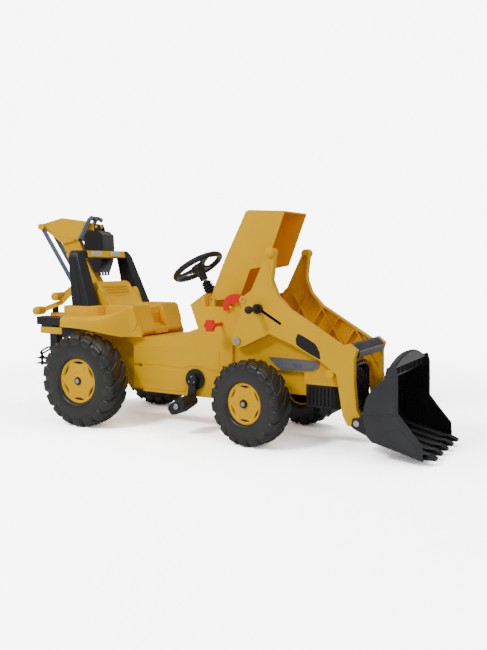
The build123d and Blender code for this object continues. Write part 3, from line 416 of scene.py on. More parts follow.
def tyre(name, place, radius, half, body, node):
    bead = 0.475 * radius
    side_profile = [(bead - 1, 0.60), (bead + 1, 0.74), (0.505 * radius, 0.86),
                    (0.53 * radius, 0.93), (0.57 * radius, 0.965), (0.64 * radius, 0.985),
                    (0.74 * radius, 0.98), (0.82 * radius, 0.955), (0.88 * radius, 0.89),
                    (0.925 * radius, 0.80), (0.956 * radius, 0.62), (0.969 * radius, 0.34)]
    profile = [(r, w * half) for r, w in side_profile]
    profile += [(0.971 * radius, 0)] + [(r, -h) for r, h in reversed(profile)]
    verts, faces = lathe_data(profile, place, 108)
    stations = [  # base radius, base offset, top radius, top offset, angle ahead, half angle
        (0.94, -0.06, 0.992, -0.06, 15.0, 3.4), (0.94, 0.16, 1.0, 0.16, 11.0, 4.8),
        (0.94, 0.44, 1.0, 0.46, 5.5, 6.4), (0.92, 0.66, 0.993, 0.72, 1.8, 7.3),
        (0.885, 0.80, 0.970, 0.90, 0.3, 7.5), (0.85, 0.87, 0.930, 0.985, 0.0, 7.1),
        (0.80, 0.93, 0.875, 1.005, 0.0, 6.2), (0.77, 0.94, 0.825, 1.0, 0.0, 4.6)]
    for hand, first in ((1, pi / LUGS), (-1, 0.0)):
        for k in range(LUGS):
            start = len(verts)
            for low_r, low_h, top_r, top_h, ahead, wide in stations:
                middle = first + 2 * pi * k / LUGS + radians(ahead) * hand
                for r, h, sign in ((low_r, low_h, -1.12), (top_r, top_h, -0.9),
                                   (top_r, top_h, 0.9), (low_r, low_h, 1.12)):
                    angle = middle + radians(wide) * sign
                    verts.append(place(r * radius * cos(angle), r * radius * sin(angle),
                                       hand * h * half))
            rows = len(stations)
            for row in range(rows - 1):
                a, b = start + 4 * row, start + 4 * (row + 1)
                faces += [(a + i, a + (i + 1) % 4, b + (i + 1) % 4, b + i) for i in range(4)]
            faces += [tuple(range(start, start + 4)),
                      tuple(range(start + 4 * rows - 4, start + 4 * rows))]
    obj = mesh_object(name, verts, faces)
    finish_piece(obj, TYRE, body, replaces=[node], bevel=3.0, steps=3, limit=34)


def window(radius, angle, inner=0.745, outer=0.905, spread=25):
    """Lens-shaped opening near the edge of a wheel disc."""
    out = []
    for k in range(13):
        a = angle + radians(-spread + 2 * spread * k / 12)
        out.append((outer * radius * cos(a), outer * radius * sin(a)))
    for k in range(1, 12):
        a = angle + radians(spread - 2 * spread * k / 12)
        r = outer - (outer - inner) * sin(pi * k / 12) ** 0.8
        out.append((r * radius * cos(a), r * radius * sin(a)))
    return rounded(out, 1.5, 2)


def rim(name, place, radius, half, body, node):
    r0 = 0.475 * radius
    face = 0.575 * half
    barrel = [(r0 - 5, -0.70 * half), (r0, -0.72 * half), (r0, 0.60 * half),
              (r0 + 1.5, 0.66 * half), (r0 + 1.5, 0.71 * half), (r0 - 1, 0.735 * half),
              (r0 - 4.5, 0.72 * half), (r0 - 6.5, 0.66 * half), (r0 - 6.5, face - 5),
              (r0 - 5, face - 9)]
    lathe(name + "_barrel", barrel, place, YELLOW, body, 96, replaces=[node], bevel=0.5)
    loops = [circle(0, 0, r0 - 4.6, 72)]
    loops += [window(r0, radians(30 + 60 * k)) for k in range(6)]
    cut_plate(name + "_disc", loops, place, face - 4, face + 4, YELLOW, body, edge=1.6)
    ring = [(0.54 * r0, face + 2), (0.535 * r0, face + 4.6), (0.50 * r0, face + 5.6),
            (0.42 * r0, face + 5.4), (0.395 * r0, face + 4.4), (0.39 * r0, face + 2)]
    lathe(name + "_step", ring, place, YELLOW, body, 72, bevel=0.6)
    dome = [(8.2, face - 8), (0.34 * r0, face - 8), (0.34 * r0, face + 3.4),
            (0.30 * r0, face + 5.0), (0.26 * r0, face + 5.7), (8.2, face + 5.7)]
    lathe(name + "_hub", dome, place, YELLOW, body, 64, bevel=0.6)
    # dark disc behind the wheel disc: painted shade seen through its windows
    lathe(name + "_back", [(8.6, -0.55 * half), (r0 - 4.6, -0.55 * half), (r0 - 4.6, -0.47 * half),
                           (8.6, -0.47 * half)], place, PAINTED_SHADE, body, 64, slot="black_plastic")
    for k in range(6):
        a = radians(60 * k)
        spot = (0.66 * r0 * cos(a), 0.66 * r0 * sin(a))
        slab(f"{name}_boss{k}", circle(*spot, 3.6, 14), place, face + 3, face + 5.6, YELLOW, body,
             bevel=0.8)


def rear_place(hand):
    return wheel_place(mm(0, hand * REAR_Y, REAR_R), (0, hand, 0))


def front_place(hand):
    out = Vector((-hand * sin(STEER), hand * cos(STEER), 0))
    return wheel_place(mm(KING_PIN[0], hand * KING_PIN[1], FRONT_R) + out * STUB / 1000, out)


for word, hand in HANDS:
    place = rear_place(hand)
    tyre(f"tyre_tread_rear_{word}", place, REAR_R, REAR_HALF, "rear_wheels", f"tyre_rear_{word}")
    rim(f"wheel_rear_{word}", place, REAR_R, REAR_HALF, "rear_wheels", f"rim_rear_{word}")
    place = front_place(hand)
    body = f"front_wheel_{word[0]}"
    tyre(f"tyre_tread_front_{word}", place, FRONT_R, FRONT_HALF, body, f"tyre_front_{word}")
    rim(f"wheel_front_{word}", place, FRONT_R, FRONT_HALF, body, f"rim_front_{word}")

for word, hand in HANDS:
    place = rear_place(hand)
    lathe(f"hub_ring_rear_{word}", [(8.15, 32.8), (13.4, 32.8), (13.4, 36), (12, 38.6),
                                    (8.15, 38.9)], place, BLACK_AND_SHADE, "rear_wheels", 48,
          replaces=["rear_hub_nuts"] if hand < 0 else (), bevel=0.4)
    place = front_place(hand)
    lathe(f"hub_ring_front_{word}", [(8.2, 30), (13.2, 30), (13.2, 33), (12, 36), (8.2, 36.4)],
          place, BLACK_AND_SHADE, f"front_wheel_{word[0]}", 48, bevel=0.4)
    lathe(f"hub_cap_front_{word}", [(0.2, 33.7), (7.6, 33.7), (7.6, 36.4), (6.4, 38), (3, 38.8),
                                    (0.2, 39)], place, STEEL, f"knuckle_{word[0]}", 40,
          replaces=[f"hub_nut_front_{word}"], bevel=0.2)

# ---- steering wheel and boot ------------------------------------------------------------------
grip = [(82 + 9.6 * cos(2 * pi * k / 24), 9.6 * sin(2 * pi * k / 24)) for k in range(24)]
lathe("steering_rim", grip, column, BLACK_AND_SHADE, "steering", 96, replaces=["steering_wheel"])
for k in range(3):
    a = radians(120 * k)

    def spoke(r, w, h, a=a):
        return column(r * cos(a) - w * sin(a), r * sin(a) + w * cos(a), h)

    sections = []
    for r, w, top, deep in ((10, 15, 1, 14), (26, 12.5, 2, 11), (44, 11, 2, 9), (62, 12, 3, 9),
                            (78, 16, 4, 9)):
        sections.append([spoke(r, -w, top - 2.5), spoke(r, -w + 3.5, top), spoke(r, -0.32 * w, top),
                         spoke(r, -0.22 * w, top - 2.4), spoke(r, 0.22 * w, top - 2.4),
                         spoke(r, 0.32 * w, top), spoke(r, w - 3.5, top), spoke(r, w, top - 2.5),
                         spoke(r, w - 1, top - deep), spoke(r, -w + 1, top - deep)])
    loft(f"steering_spoke{k}", sections, BLACK_AND_SHADE, "steering", bevel=1.0)
lathe("steering_hub", [(0.2, -14), (21, -14), (25, -9), (25.5, 0), (22, 5), (16, 7.5), (10, 8.4),
                       (0.2, 8.6)], column, BLACK_AND_SHADE, "steering", 64, bevel=1.0)
lathe("steering_sleeve", [(7.2, -50), (13.2, -50), (14, -48.5), (14.2, -34), (15, -30), (17, -18),
                          (19, -13), (7.2, -13)], column, BLACK_AND_SHADE, "steering", 48, bevel=0.6)
folds = []
for k in range(6):
    h0, wide = -121.8 + 10.6 * k, 25 - 1.5 * k
    folds += [(wide - 5, h0), (wide - 0.6, h0 + 2.8), (wide, h0 + 4.2), (wide - 0.6, h0 + 5.6),
              (wide - 6, h0 + 9.4)]
lathe("steering_bellows", [(7.15, -121.8)] + folds + [(12.5, -57.6), (7.15, -57.6)], column, BLACK_AND_SHADE,
      "chassis", 64, replaces=["steering_boot"])

# ---- seat and deck ----------------------------------------------------------------------------
thigh = rounded([(8, 320), (8, 402), (34, 391), (92, 390), (120, 404), (138, 405), (152, 362),
                 (171, 316), (150, 300), (60, 300)], [3, 6, 12, 14, 8, 7, 10, 6, 4, 4])
hollow = rounded([(8, 320), (8, 399), (34, 386), (92, 385), (112, 395), (126, 395), (131, 372),
                  (128, 338), (163, 322), (168, 304), (150, 300), (60, 300)],
                 [3, 6, 12, 14, 8, 6, 3, 5, 4, 5, 4, 4])
slab("seat_middle", hollow, side, -36, 36, YELLOW, "chassis", replaces=["seat"], bevel=1.6, steps=3)
for word, hand in HANDS:
    slab(f"seat_thigh_{word}", thigh, side, hand * 35.6, hand * 112, YELLOW, "chassis", bevel=5,
         steps=4, limit=50)
back_rows = []
for y, lean, crown in ((-93, 2, 462), (-86, -2, 478), (-76, 0, 482), (-66, 7, 481), (0, 9, 481),
                       (66, 7, 481), (76, 0, 482), (86, -2, 478), (93, 2, 462)):
    back_rows.append([mm(x, y, z) for x, z in (
        (-62, 299), (-70, 400), (-74, crown - 16), (-71, crown - 4), (-62, crown),
        (-52 - lean, crown - 1), (-44 - lean, crown - 7), (-30 - lean, crown - 30),
        (-8 - lean, 428), (8 - lean * 0.6, 408), (18, 396), (20, 300))])
loft("seat_back", back_rows, YELLOW, "chassis", bevel=3, steps=3, limit=40)
for k in range(5):
    z = 420 + 11 * k
    x = -17.5 - 0.69 * (z - 428) + 0.5
    tube(f"seat_stripe{k}", [mm(x, -60 + 12 * j, z) for j in range(11)], 1.7, YELLOW, "chassis", 8)
for hand in (-1, 1):
    wing = rounded([(6, 392), (-14, 448), (-26, 462), (-38, 452), (-34, 392)], [4, 14, 12, 10, 4])
    slab(f"seat_wing{hand + 1}", wing, side, hand * 86, hand * 103, YELLOW, "chassis", bevel=5,
         steps=4, limit=50)

fender_rows = ((-112, 209, 358, 330), (-108, 214, 364, 328), (-60, 215, 365.5, 327.5),
               (-10, 215, 366, 325), (24, 211, 367, 321), (56, 199, 370, 314),
               (86, 180, 379, 306), (114, 158, 392, 300), (130, 140, 402, 299.5),
               (138, 134, 404, 299.2), (152, 130, 362, 299.2), (171, 126, 316, 299.2))
for word, hand in HANDS:
    rows = []
    inner = FENDER_INNER
    for x, wide, top, base in fender_rows:
        rows.append([mm(x, hand * y, z) for y, z in (
            (inner, base + 6), (inner, top), (max(inner + 2, wide - 26), top + 1.5),
            (max(inner + 4, wide - 12), top), (wide - 4, top - 5), (wide - 0.5, top - 13),
            (wide, 0.5 * (top + base)), (wide, base + 6), (wide + 1.5, base + 3), (wide + 1, base),
            (wide - 5, base), (wide - 8, base + 5))])
    loft(f"fender_{word}", rows, YELLOW, "chassis", replaces=["fender_deck"] if hand < 0 else (),
         bevel=1.2, limit=45)
    bolster = rounded([(20, 352), (24, 396), (38, 404), (126, 404), (141, 398), (158, 344),
                       (150, 320), (30, 330)], [4, 10, 12, 12, 10, 8, 5, 5])
    slab(f"seat_bolster_{word}", bolster, side, hand * BOLSTER_SIDES[0], hand * BOLSTER_SIDES[1],
         YELLOW, "chassis", bevel=9, steps=5, limit=50)
    # black sheet under the rear of the fender: painted shade standing in for the fender's underside
    # in shadow
    shade_sheet = [(-112, 288), (-112, 329), (-8, 329), (-14, 321), (-50, 314), (-84, 300)]
    slab(f"fender_shade_sheet_{word}", shade_sheet, side, hand * 116, hand * 202, BLACK_AND_SHADE, "chassis", bevel=1.5,
         slot="black_plastic")
    plateau = rounded([(-126, hand * 104), (-126, hand * 181), (-20, hand * 181), (14, hand * 160),
                       (26, hand * 114), (-60, hand * 113), (-70, hand * 104)],
                      [4, 12, 26, 20, 3, 3, 4])
    slab(f"deck_plateau_{word}", plateau, level, 352, 400, YELLOW, "chassis", bevel=4, steps=4)
    tail = rounded([(-216, hand * 146), (-216, hand * 203), (-112, hand * 203), (-112, hand * 146)],
                   [9, 9, 3, 3])
    slab(f"tail_shelf_{word}", tail, level, 301, 324, YELLOW, "chassis", bevel=3, steps=3)
    slab(f"tail_web_{word}", rounded([(-150, hand * 146), (-150, hand * 160), (-100, hand * 160),
                                      (-100, hand * 146)], 3), level, 302, 362, YELLOW, "chassis",
         bevel=1.5)
    pod = rounded([(-236, hand * 142), (-236, hand * 204), (-113, hand * 204), (-113, hand * 161),
                   (-151, hand * 161), (-151, hand * 142)], [16, 16, 3, 3, 3, 3])
    slab(f"tail_light_{word}", pod, level, 331, 358.5, JET_AND_SHADE, "chassis",
         replaces=["tail_lights"] if hand < 0 else (), bevel=4, steps=4)
    slab(f"tail_lens_{word}", rounded([(-228, hand * 152), (-228, hand * 195), (-172, hand * 195),
                                       (-172, hand * 152)], 9), level, 357, 360.2, JET_AND_SHADE,
         "chassis", bevel=1.2, steps=3)
    slab(f"tail_foot_{word}", rounded([(-214, hand * 148), (-214, hand * 200), (-160, hand * 200),
                                       (-160, hand * 148)], 5), level, 324.2, 333, BLACK_AND_SHADE, "chassis",
         bevel=1)
slab("deck_bridge", rounded([(-112, -146), (-79, -146), (-79, 146), (-112, 146)], 3), level, 335,
     364.5, YELLOW, "chassis", bevel=2.5, steps=3)
slab("deck_wall", [(-112, -80), (-79.4, -80), (-79.4, 80), (-112, 80)], level, 299, 340, YELLOW,
     "chassis", bevel=1)

# ---- roll bar ---------------------------------------------------------------------------------
for word, hand in HANDS:
    rows = []
    for t in (0.0, 0.03, 0.3, 0.6, 0.86, 0.95, 1.0):
        z = ROLL_FOOT + ROLL_RISE * t
        rear, front = -94 - 38 * t, -14 - 73 * t
        near, far = 116 - 6 * t, 174 - 26 * t
        if t > 0.9:
            far -= 14 * ((t - 0.86) / 0.14) ** 2
            rear += 3 * ((t - 0.86) / 0.14) ** 2
        rows.append([mm(x, hand * y, z) for x, y in rounded(
            [(rear, near), (rear, far), (front, far), (front, near)], [5, 11, 8, 5], 4)])
    loft(f"roll_post_{word}", rows, BLACK_AND_SHADE, "chassis",
         replaces=["roll_bar"] if hand < 0 else (), bevel=1.5, limit=50)

    def on_post(a, b, h, hand=hand):
        """a: rear edge (0) to front edge (1), b: foot (0) to top (1), h: proud of the side."""
        z = ROLL_FOOT + ROLL_RISE * b
        x = (-94 - 38 * b) + a * (80 - 35 * b)
        return mm(x, hand * (174 - 26 * b + h), z)

    slab(f"roll_panel_{word}", rounded([(0.13, 0.05), (0.88, 0.05), (0.88, 0.88), (0.13, 0.88)],
                                       0.05), on_post, -2, 1.4, BLACK_AND_SHADE, "chassis", bevel=1.0)
    slab(f"roll_rib_{word}", [(0.60, 0.06), (0.64, 0.06), (0.64, 0.87), (0.60, 0.87)], on_post, 0.5,
         3.2, BLACK_AND_SHADE, "chassis", bevel=0.8)
beam = rounded([(-103.5, 562), (-105, 578), (-103, 590), (-86, 591), (-76.7, 563)], [4, 6, 6, 5, 3])
slab("roll_beam", beam, side, -118, 118, BLACK_AND_SHADE, "chassis", bevel=1.0)
strip = [(-76.6, 566.5), (-82.9, 589.5), (-80.2, 589.5), (-74.2, 566.5)]
slab("lamp_strip", strip, side, -101, 101, YELLOW, "chassis", replaces=["light_panel"], bevel=0.8)
for k, y in enumerate((-80, -54, 22, 47)):
    glass = [(-75.4, 571), (-79.5, 586), (-76.2, 586), (-72.2, 571)]
    slab(f"lamp_{k}", glass, side, y, y + 23, LAMP, "chassis",
         replaces=["roof_lamps"] if k == 0 else (), bevel=1.2, steps=3)
    for j in range(3):
        tube(f"lamp_rib{k}{j}", [mm(-73.1, y + 5.5 + 6 * j, 573.5),
                                 mm(-76.5, y + 5.5 + 6 * j, 584)], 1.0, GREY, "chassis", 8)

# ---- backhoe: link plates, grips, hitch --------------------------------------------------------
def bar_outline(points, width, steps=6):
    """Round-ended outline that follows a chain of points."""
    left, right = [], []
    for i, (x, y) in enumerate(points):
        before, after = points[max(i - 1, 0)], points[min(i + 1, len(points) - 1)]
        a = atan2(after[1] - before[1], after[0] - before[0]) + pi / 2
        left.append((x + width / 2 * cos(a), y + width / 2 * sin(a)))
        right.append((x - width / 2 * cos(a), y - width / 2 * sin(a)))
    ends = []
    for (x, y), (p, q) in ((points[-1], points[-2]), (points[0], points[1])):
        a = atan2(y - q, x - p)
        ends.append([(x + width / 2 * cos(a + pi / 2 - pi * k / steps),
                      y + width / 2 * sin(a + pi / 2 - pi * k / steps)) for k in range(1, steps)])
    return left + ends[0] + right[::-1] + ends[1]


for hand in (-1, 1):
    yoke = bar_outline([(122, 632), (146, 676), (160, 704), (170, 713), (184, 706)], 17)
    slab(f"yoke_plate{hand + 1}", yoke, hoe, hand * 24.2, hand * 28.3, ROD, "stick_body", bevel=1.2,
         replaces=["bucket_yoke"] if hand < 0 else ())
    slab(f"yoke_rib{hand + 1}", bar_outline([(126, 640), (146, 677), (160, 704)], 5), hoe,
         hand * 27, hand * 30.2, ROD, "stick_body", bevel=1.0)
    for spot in ((122, 632), (182, 706)):
        slab(f"yoke_stud{hand + 1}_{spot[0]}", circle(*spot, 5.5, 20), hoe, hand * 27, hand * 31.5,
             BLACK_AND_SHADE, "stick_body", bevel=1.0)
    cheek = rounded([(-22, 676), (-14, 690), (46, 707), (126, 697), (142, 690), (142, 672),
                     (126, 640), (112, 632), (60, 640), (30, 650)], 6)
    slab(f"stick_cheek{hand + 1}", cheek, hoe, hand * 23.5, hand * 25.4, YELLOW, "stick_body",
         bevel=1.2, steps=3)
slab("yoke_bridge", rounded([(154, 706), (162, 719), (176, 719), (176, 707), (166, 703)], 3), hoe,
     -24.3, 24.3, ROD, "stick_body", bevel=1.2)
for name, (u, z), low_n, high_n, body in (("boom", (31, 421), 8, -62, "boom_body"),
                                          ("stick", (-34, 368), -35, -86, "stick_handle")):
    def at_grip(a, b, h, u=u, z=z):
        return hoe(u + a, z + b, h)

    lathe(f"{name}_grip", [(0.2, low_n + 1), (11, low_n + 1), (14.6, low_n - 2.5),
                           (15.8, low_n - 7), (15.8, high_n + 8), (14.6, high_n + 3),
                           (11, high_n - 1), (0.2, high_n - 1.5)], at_grip, YELLOW, body, 48)

# pull ring of the trailer hitch's pin: an oval that leans back
turns = 48
loop = [mm(HITCH_X + 21 - 21 * cos(2 * pi * k / turns), 19 * sin(2 * pi * k / turns),
           196 + (21 - 21 * cos(2 * pi * k / turns)) * tan(RING_TILT) * 0.8)
        for k in range(turns)]
up = Vector((-sin(RING_TILT), 0, cos(RING_TILT)))
sections = []
for k, p in enumerate(loop):
    ahead = (loop[(k + 1) % turns] - loop[k - 1]).normalized()
    out = ahead.cross(up).normalized()
    sections.append([p + (out * cos(2 * pi * j / 12) + up * sin(2 * pi * j / 12)) * 0.0038
                     for j in range(12)])
loft("hitch_ring", sections, BLACK_AND_SHADE, "hitch", ring=True, replaces=["hitch_pin"])


def at_hitch(a, b, h):
    return mm(HITCH_X + a, b, h)


lathe("hitch_rod", [(0.2, 148), (3.8, 148), (5, 150), (5, 180.4), (8.4, 180.6), (8.8, 182.4),
                    (8.2, 184.4), (5, 184.6), (5, 196), (4, 199), (0.2, 200)], at_hitch, BLACK_AND_SHADE,
      "hitch", 32)

# ---- nose, body sides and loader arms ----------------------------------------------------------
def oval(wide, high, x, steps=12):
    corner = 0.62 * wide
    return [mm(x, y, z) for y, z in rounded([(-wide, 172 - high), (wide, 172 - high),
                                             (wide, 172 + high), (-wide, 172 + high)],
                                            corner, steps)]


loft("grille_ring", [oval(w, h, x) for w, h, x in (
    (66, 82, 868.7), (69, 85, 872), (70, 86, 880), (69.5, 85.5, 893), (66.5, 82.5, 900.5),
    (61, 77, 903.8), (56, 72, 902.5), (53.5, 69.5, 898), (52.5, 68.5, 884))], JET_AND_SHADE, "chassis",
     replaces=["nose_grille"], bevel=0.0)
for k in range(7):
    y = -39 + 13 * k
    tall = 66 * (1 - (abs(y) / 58) ** 2.6) ** 0.5
    path = [mm(884 + 13.5 * cos(pi * j / 20) ** 0.6, y, 172 + tall * j / 10.01)
            for j in range(-10, 11)]
    tube(f"grille_rib{k}", path, 3.6, JET_AND_SHADE, "chassis", 12)
for word, hand in HANDS:
    trim = rounded([(637, 261), (668, 261), (798, 259), (807, 255), (804, 238), (784, 227),
                    (684, 223), (669, 231)], [3, 8, 8, 4, 8, 12, 12, 8])
    slab(f"nose_trim_{word}", trim, side, hand * TRIM_SIDE, hand * (TRIM_SIDE + 3.4), GREY,
         "chassis", replaces=["side_trims"] if hand < 0 else (), bevel=1.2, steps=3)
    inset = rounded([(690, 255), (780, 253), (794, 249), (792, 240), (778, 232), (694, 229),
                     (682, 236)], [3, 6, 4, 5, 8, 6, 5])
    slab(f"nose_inset_{word}", inset, side, hand * 103, hand * 104.6, GREY, "chassis", bevel=0.9,
         steps=3)
    badge = rounded([(722, 248), (750, 248), (750, 236), (722, 236)], 5.5)
    slab(f"nose_badge_{word}", badge, side, hand * 104, hand * 106, ROD, "chassis", bevel=0.9)

    # raised panels on the body's side
    panel = rounded([(126, 271), (266, 276), (437, 270), (468, 269), (466, 207), (424, 205),
                     (405, 214), (352, 214), (332, 204), (232, 208), (126, 208)], 7)
    slab(f"side_panel_{word}", panel, side, hand * BODY_SIDE, hand * (BODY_SIDE + 2.1), YELLOW,
         "chassis", bevel=1.1, steps=3)
    skirt = rounded([(126, 199), (232, 199), (326, 195), (338, 176), (340, 140), (334, 126),
                     (126, 126)], 7)
    slab(f"side_skirt_{word}", skirt, side, hand * BODY_SIDE, hand * (BODY_SIDE + 2.1), YELLOW,
         "chassis", bevel=1.1, steps=3)

    # loader arm: plain dark leaf, gusset, knob on its tower, washer round its eye
    leaf = rounded([(751, 341), (774, 331), (808, 313), (821, 289), (823, 268), (793, 281),
                    (762, 297), (746, 308), (744, 324)], [5, 20, 20, 12, 2, 20, 20, 8, 10])
    slab(f"arm_decal_{word}", leaf, side, hand * (ARM_SIDE + 0.3), hand * (ARM_SIDE + 1), DECAL,
         "loader", bevel=0.2, slot="black_plastic")
    slab(f"arm_gusset_{word}", rounded([(642, 548), (655, 547), (673, 462), (660, 478)], 2.5), side,
         hand * ARM_SIDE, hand * (ARM_SIDE + 2.5), YELLOW, "loader", bevel=0.9)

    def at_knob(a, b, h, hand=hand):
        return mm(660 + a, hand * h, 577 + b)

    lathe(f"tower_knob_{word}", [(0.2, 136), (14.4, 136), (15.4, 138), (14.2, 142), (10.5, 145.4),
                                 (5.5, 147), (0.2, 147.2)], at_knob, YELLOW, "loader", 48)

    def at_eye(a, b, h, hand=hand):
        return mm(566 + a, hand * h, 434 + b)

    lathe(f"eye_washer_{word}", [(4.6, 133.6), (11.4, 133.6), (12, 135), (11, 136.6), (7.6, 137),
                                 (6.2, 136.2), (4.6, 135)], at_eye, YELLOW, "loader", 40)
# dark plate behind the tilt lever's slot, painted shade seen through the slot: a round end at each
# end of the slot
slot_shade = []
for (x, z), turned in (((620, 409), pi), ((692, 367), 0)):
    for step in range(-3, 4):
        a = atan2(-42, 72) + turned + pi / 6 * step
        slot_shade.append((x + 12.5 * cos(a), z + 12.5 * sin(a)))
slab("lever_slot_shade", slot_shade, side, -113.3, -114.8, PAINTED_SHADE, "loader", slot="black_plastic")

# ---- loader bucket -----------------------------------------------------------------------------
for word, hand in HANDS:
    seam = [mm(x, hand * (BUCKET_SIDE + 0.4), z)
            for x, z in ((967, 128), (1000, 131), (1035, 133), (1058, 135))]
    tube(f"bucket_seam_{word}", seam, 1.6, BUCKET, "loader_bucket", 10)
    brim = [mm(x, hand * BUCKET_SIDE, z) for x, z in (
        (1052, 270), (1059, 247), (1060.5, 190), (1061.5, 140), (1096, 98), (1129, 60), (1132, 18))]
    tube(f"bucket_brim_{word}", brim, 3.2, BUCKET, "loader_bucket", 12)
    gusset = rounded([(1000, 58), (1066, 42), (1118, 30), (1116, 54), (1066, 100)], 6)
    slab(f"bucket_gusset_{word}", gusset, side, hand * (BUCKET_SIDE - 0.5),
         hand * (BUCKET_SIDE + 1.6), BUCKET, "loader_bucket", bevel=1.0)


def lip_height(y):
    """Top of the bucket's arched lip at distance y from the middle."""
    return 262 + 29.5 * (1 - (abs(y) / 150) ** 2)


lip_path = [mm(1044, -150 + 15 * k, lip_height(-150 + 15 * k) + 1) for k in range(21)]
tube("bucket_lip", lip_path, 3.6, BUCKET, "loader_bucket", 12)
# dark patches in the lip's pockets: painted shade in the recesses
for k in range(6):
    y0 = -132 + 45.5 * k
    top = lip_height(y0 + 18) - 8
    pocket = rounded([(y0, 240), (y0 + 36, 240), (y0 + 36, top), (y0, top)], 5)
    slab(f"lip_recess_shade{k}", pocket, across, 1045.5, 1048.2, PAINTED_SHADE, "loader_bucket", bevel=0.8)
ridge = [(1000, 58.6), (1030, 51.5), (1070, 42.5), (1120, 30.6), (1140, 30), (1162, 21),
         (1162, 15.2), (1134, 14.4), (1100, 20), (1070, 33)]
for k in range(5):
    y = -121 + 60.5 * k
    slab(f"bucket_tooth{k}", ridge, side, y - 12.6, y + 12.6, BUCKET, "loader_bucket", bevel=1.6,
         steps=3)

# ---- cranks and pedals -------------------------------------------------------------------------
for word, hand in HANDS:
    def at_crank(a, b, h, hand=hand):
        return mm(CRANK[0] + a, hand * h, CRANK[1] + b)

    lathe(f"crank_cap_{word}", [(0.2, 132), (15, 132), (17.4, 133.6), (16.6, 136), (9, 137.4),
                                (0.2, 137.6)], at_crank, BLACK_AND_SHADE, "cranks", 48)
    for k in range(3):
        a = radians(90 + 120 * k)
        lathe(f"crank_screw_{word}{k}", [(0.2, 136), (2.6, 136), (2.8, 137.6), (1.8, 138.4),
                                         (0.2, 138.5)],
              lambda p, q, h, a=a, f=at_crank: f(p + 11 * cos(a), q + 11 * sin(a), h), STEEL,
              "cranks", 16, slot="steel")

for word, hand, foot in (("right", -1, (371, 99.6)), ("left", 1, (385, 244.4))):
    def tread(a, b, h, hand=hand, foot=foot):
        return mm(foot[0] + a * cos(PEDAL_LEAN) - b * sin(PEDAL_LEAN), hand * h,
                  foot[1] + a * sin(PEDAL_LEAN) + b * cos(PEDAL_LEAN))

    for k in range(5):
        for face in (-1, 1):
            rib = rounded([(-24 + 10.5 * k, face * 15.5), (-18 + 10.5 * k, face * 15.5),
                           (-18 + 10.5 * k, face * 18.6), (-24 + 10.5 * k, face * 18.6)], 1.0, 2)
            slab(f"pedal_rib_{word}{k}{face + 1}", rib, tread, 141, 207, BLACK_AND_SHADE,
                 f"pedal_{word[0]}", bevel=0.7)

    def at_foot(a, b, h, hand=hand, foot=foot):
        return mm(foot[0] + a, hand * h, foot[1] + b)

    lathe(f"crank_foot_{word}", [(0.2, 131), (14, 131), (15.4, 132), (14.4, 134.4), (6.2, 134.8),
                                 (0.2, 134.8)], at_foot, BLACK_AND_SHADE, "cranks", 40)
    lathe(f"pedal_nut_{word}", [(0.2, 213.7), (8.6, 213.7), (9.5, 214.8), (8.6, 218), (0.2, 218.6)],
          at_foot, STEEL, "cranks", 32, slot="steel")

# ---- camera, light, floor ----------------------------------------------------------------------
scene = bpy.context.scene
camera_data = bpy.data.cameras.new("camera")
camera_data.lens = 39.66
camera_data.sensor_width = 36
camera = bpy.data.objects.new("camera", camera_data)
scene.collection.objects.link(camera)
heading, pitch = radians(29.5), radians(5.0)
look = Vector((-sin(heading) * cos(pitch), cos(heading) * cos(pitch), -sin(pitch)))
camera.location = (1.2731, -2.0295, 0.5484)
camera.rotation_mode = "QUATERNION"
camera.rotation_quaternion = look.to_track_quat("-Z", "Y")
scene.camera = camera

world = bpy.data.worlds.new("studio")
scene.world = world
world.use_nodes = True
wt = world.node_tree
sky = wt.nodes["Background"]
sky.inputs["Color"].default_value = (0.97, 0.975, 0.985, 1)
seen = wt.nodes.new("ShaderNodeLightPath")
level_of = wt.nodes.new("ShaderNodeMapRange")
level_of.inputs["To Min"].default_value = 0.50
level_of.inputs["To Max"].default_value = 8.0
wt.links.new(seen.outputs["Is Camera Ray"], level_of.inputs["Value"])
wt.links.new(level_of.outputs["Result"], sky.inputs["Strength"])


def lamp(name, spot, aim, power, size):
    data = bpy.data.lights.new(name, "AREA")
    data.energy = power
    data.shape = "DISK"
    data.size = size
    obj = bpy.data.objects.new(name, data)
    scene.collection.objects.link(obj)
    obj.location = spot
    obj.rotation_mode = "QUATERNION"
    obj.rotation_quaternion = (Vector(aim) - Vector(spot)).to_track_quat("-Z", "Y")


lamp("key", (-0.7, -2.5, 2.5), (0, 0, 0.3), 50, 0.7)
lamp("fill", (2.3, -1.2, 1.5), (0.2, 0, 0.3), 8, 1.4)
lamp("rim", (-2.4, -1.4, 2.6), (-0.2, 0, 0.3), 14, 1.2)
lamp("top", (0.3, 0.6, 3.4), (0, 0, 0.2), 28, 1.8)

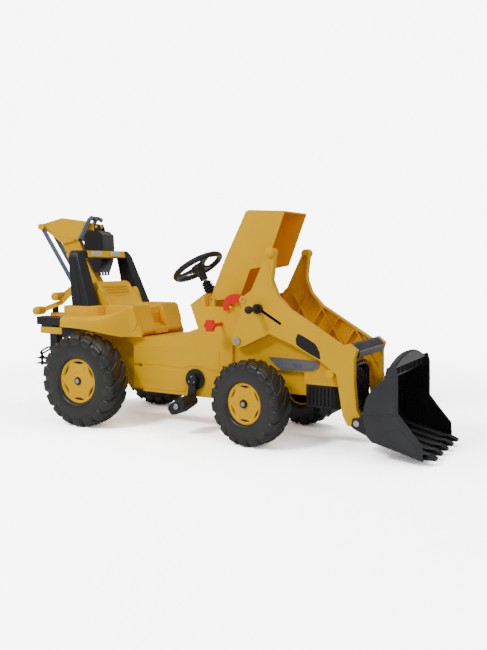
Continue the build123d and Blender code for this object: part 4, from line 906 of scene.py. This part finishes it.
floor_mesh = bpy.data.meshes.new("floor")
floor_mesh.from_pydata([(-30, -30, 0), (30, -30, 0), (30, 30, 0), (-30, 30, 0)], [], [(0, 1, 2, 3)])
floor = bpy.data.objects.new("floor", floor_mesh)
scene.collection.objects.link(floor)
paper = plastic("floor_paper", (0.86, 0.86, 0.865), (0.90, 0.90, 0.905), (0.75, 0.9), 60, 0.02,
                patch=0.8)
pt = paper.node_tree
pale = pt.nodes.new("ShaderNodeBsdfDiffuse")
seen = pt.nodes.new("ShaderNodeLightPath")
gain = pt.nodes.new("ShaderNodeMapRange")
gain.inputs["To Min"].default_value = 1.0
gain.inputs["To Max"].default_value = 7.0
pt.links.new(seen.outputs["Is Camera Ray"], gain.inputs["Value"])
tint = pt.nodes.new("ShaderNodeVectorMath")
tint.operation = "SCALE"
pt.links.new(pt.nodes["Color Ramp"].outputs["Color"], tint.inputs[0])
pt.links.new(gain.outputs["Result"], tint.inputs["Scale"])
pt.links.new(tint.outputs["Vector"], pale.inputs["Color"])
glow = pt.nodes.new("ShaderNodeEmission")
glow.inputs["Color"].default_value = (0.97, 0.975, 0.985, 1)
glow.inputs["Strength"].default_value = 8.0
spot = pt.nodes.new("ShaderNodeTexCoord")
reach = pt.nodes.new("ShaderNodeVectorMath")
reach.operation = "LENGTH"
pt.links.new(spot.outputs["Object"], reach.inputs[0])
fade = pt.nodes.new("ShaderNodeMapRange")
fade.interpolation_type = "SMOOTHERSTEP"
fade.inputs["From Min"].default_value = 0.9
fade.inputs["From Max"].default_value = 2.6
pt.links.new(reach.outputs["Value"], fade.inputs["Value"])
only = pt.nodes.new("ShaderNodeMath")
only.operation = "MULTIPLY"
pt.links.new(fade.outputs["Result"], only.inputs[0])
pt.links.new(seen.outputs["Is Camera Ray"], only.inputs[1])
blend = pt.nodes.new("ShaderNodeMixShader")
pt.links.new(only.outputs["Value"], blend.inputs[0])
pt.links.new(pale.outputs["BSDF"], blend.inputs[1])
pt.links.new(glow.outputs["Emission"], blend.inputs[2])
pt.links.new(blend.outputs["Shader"], pt.nodes["Material Output"].inputs["Surface"])
floor_mesh.materials.append(paper)
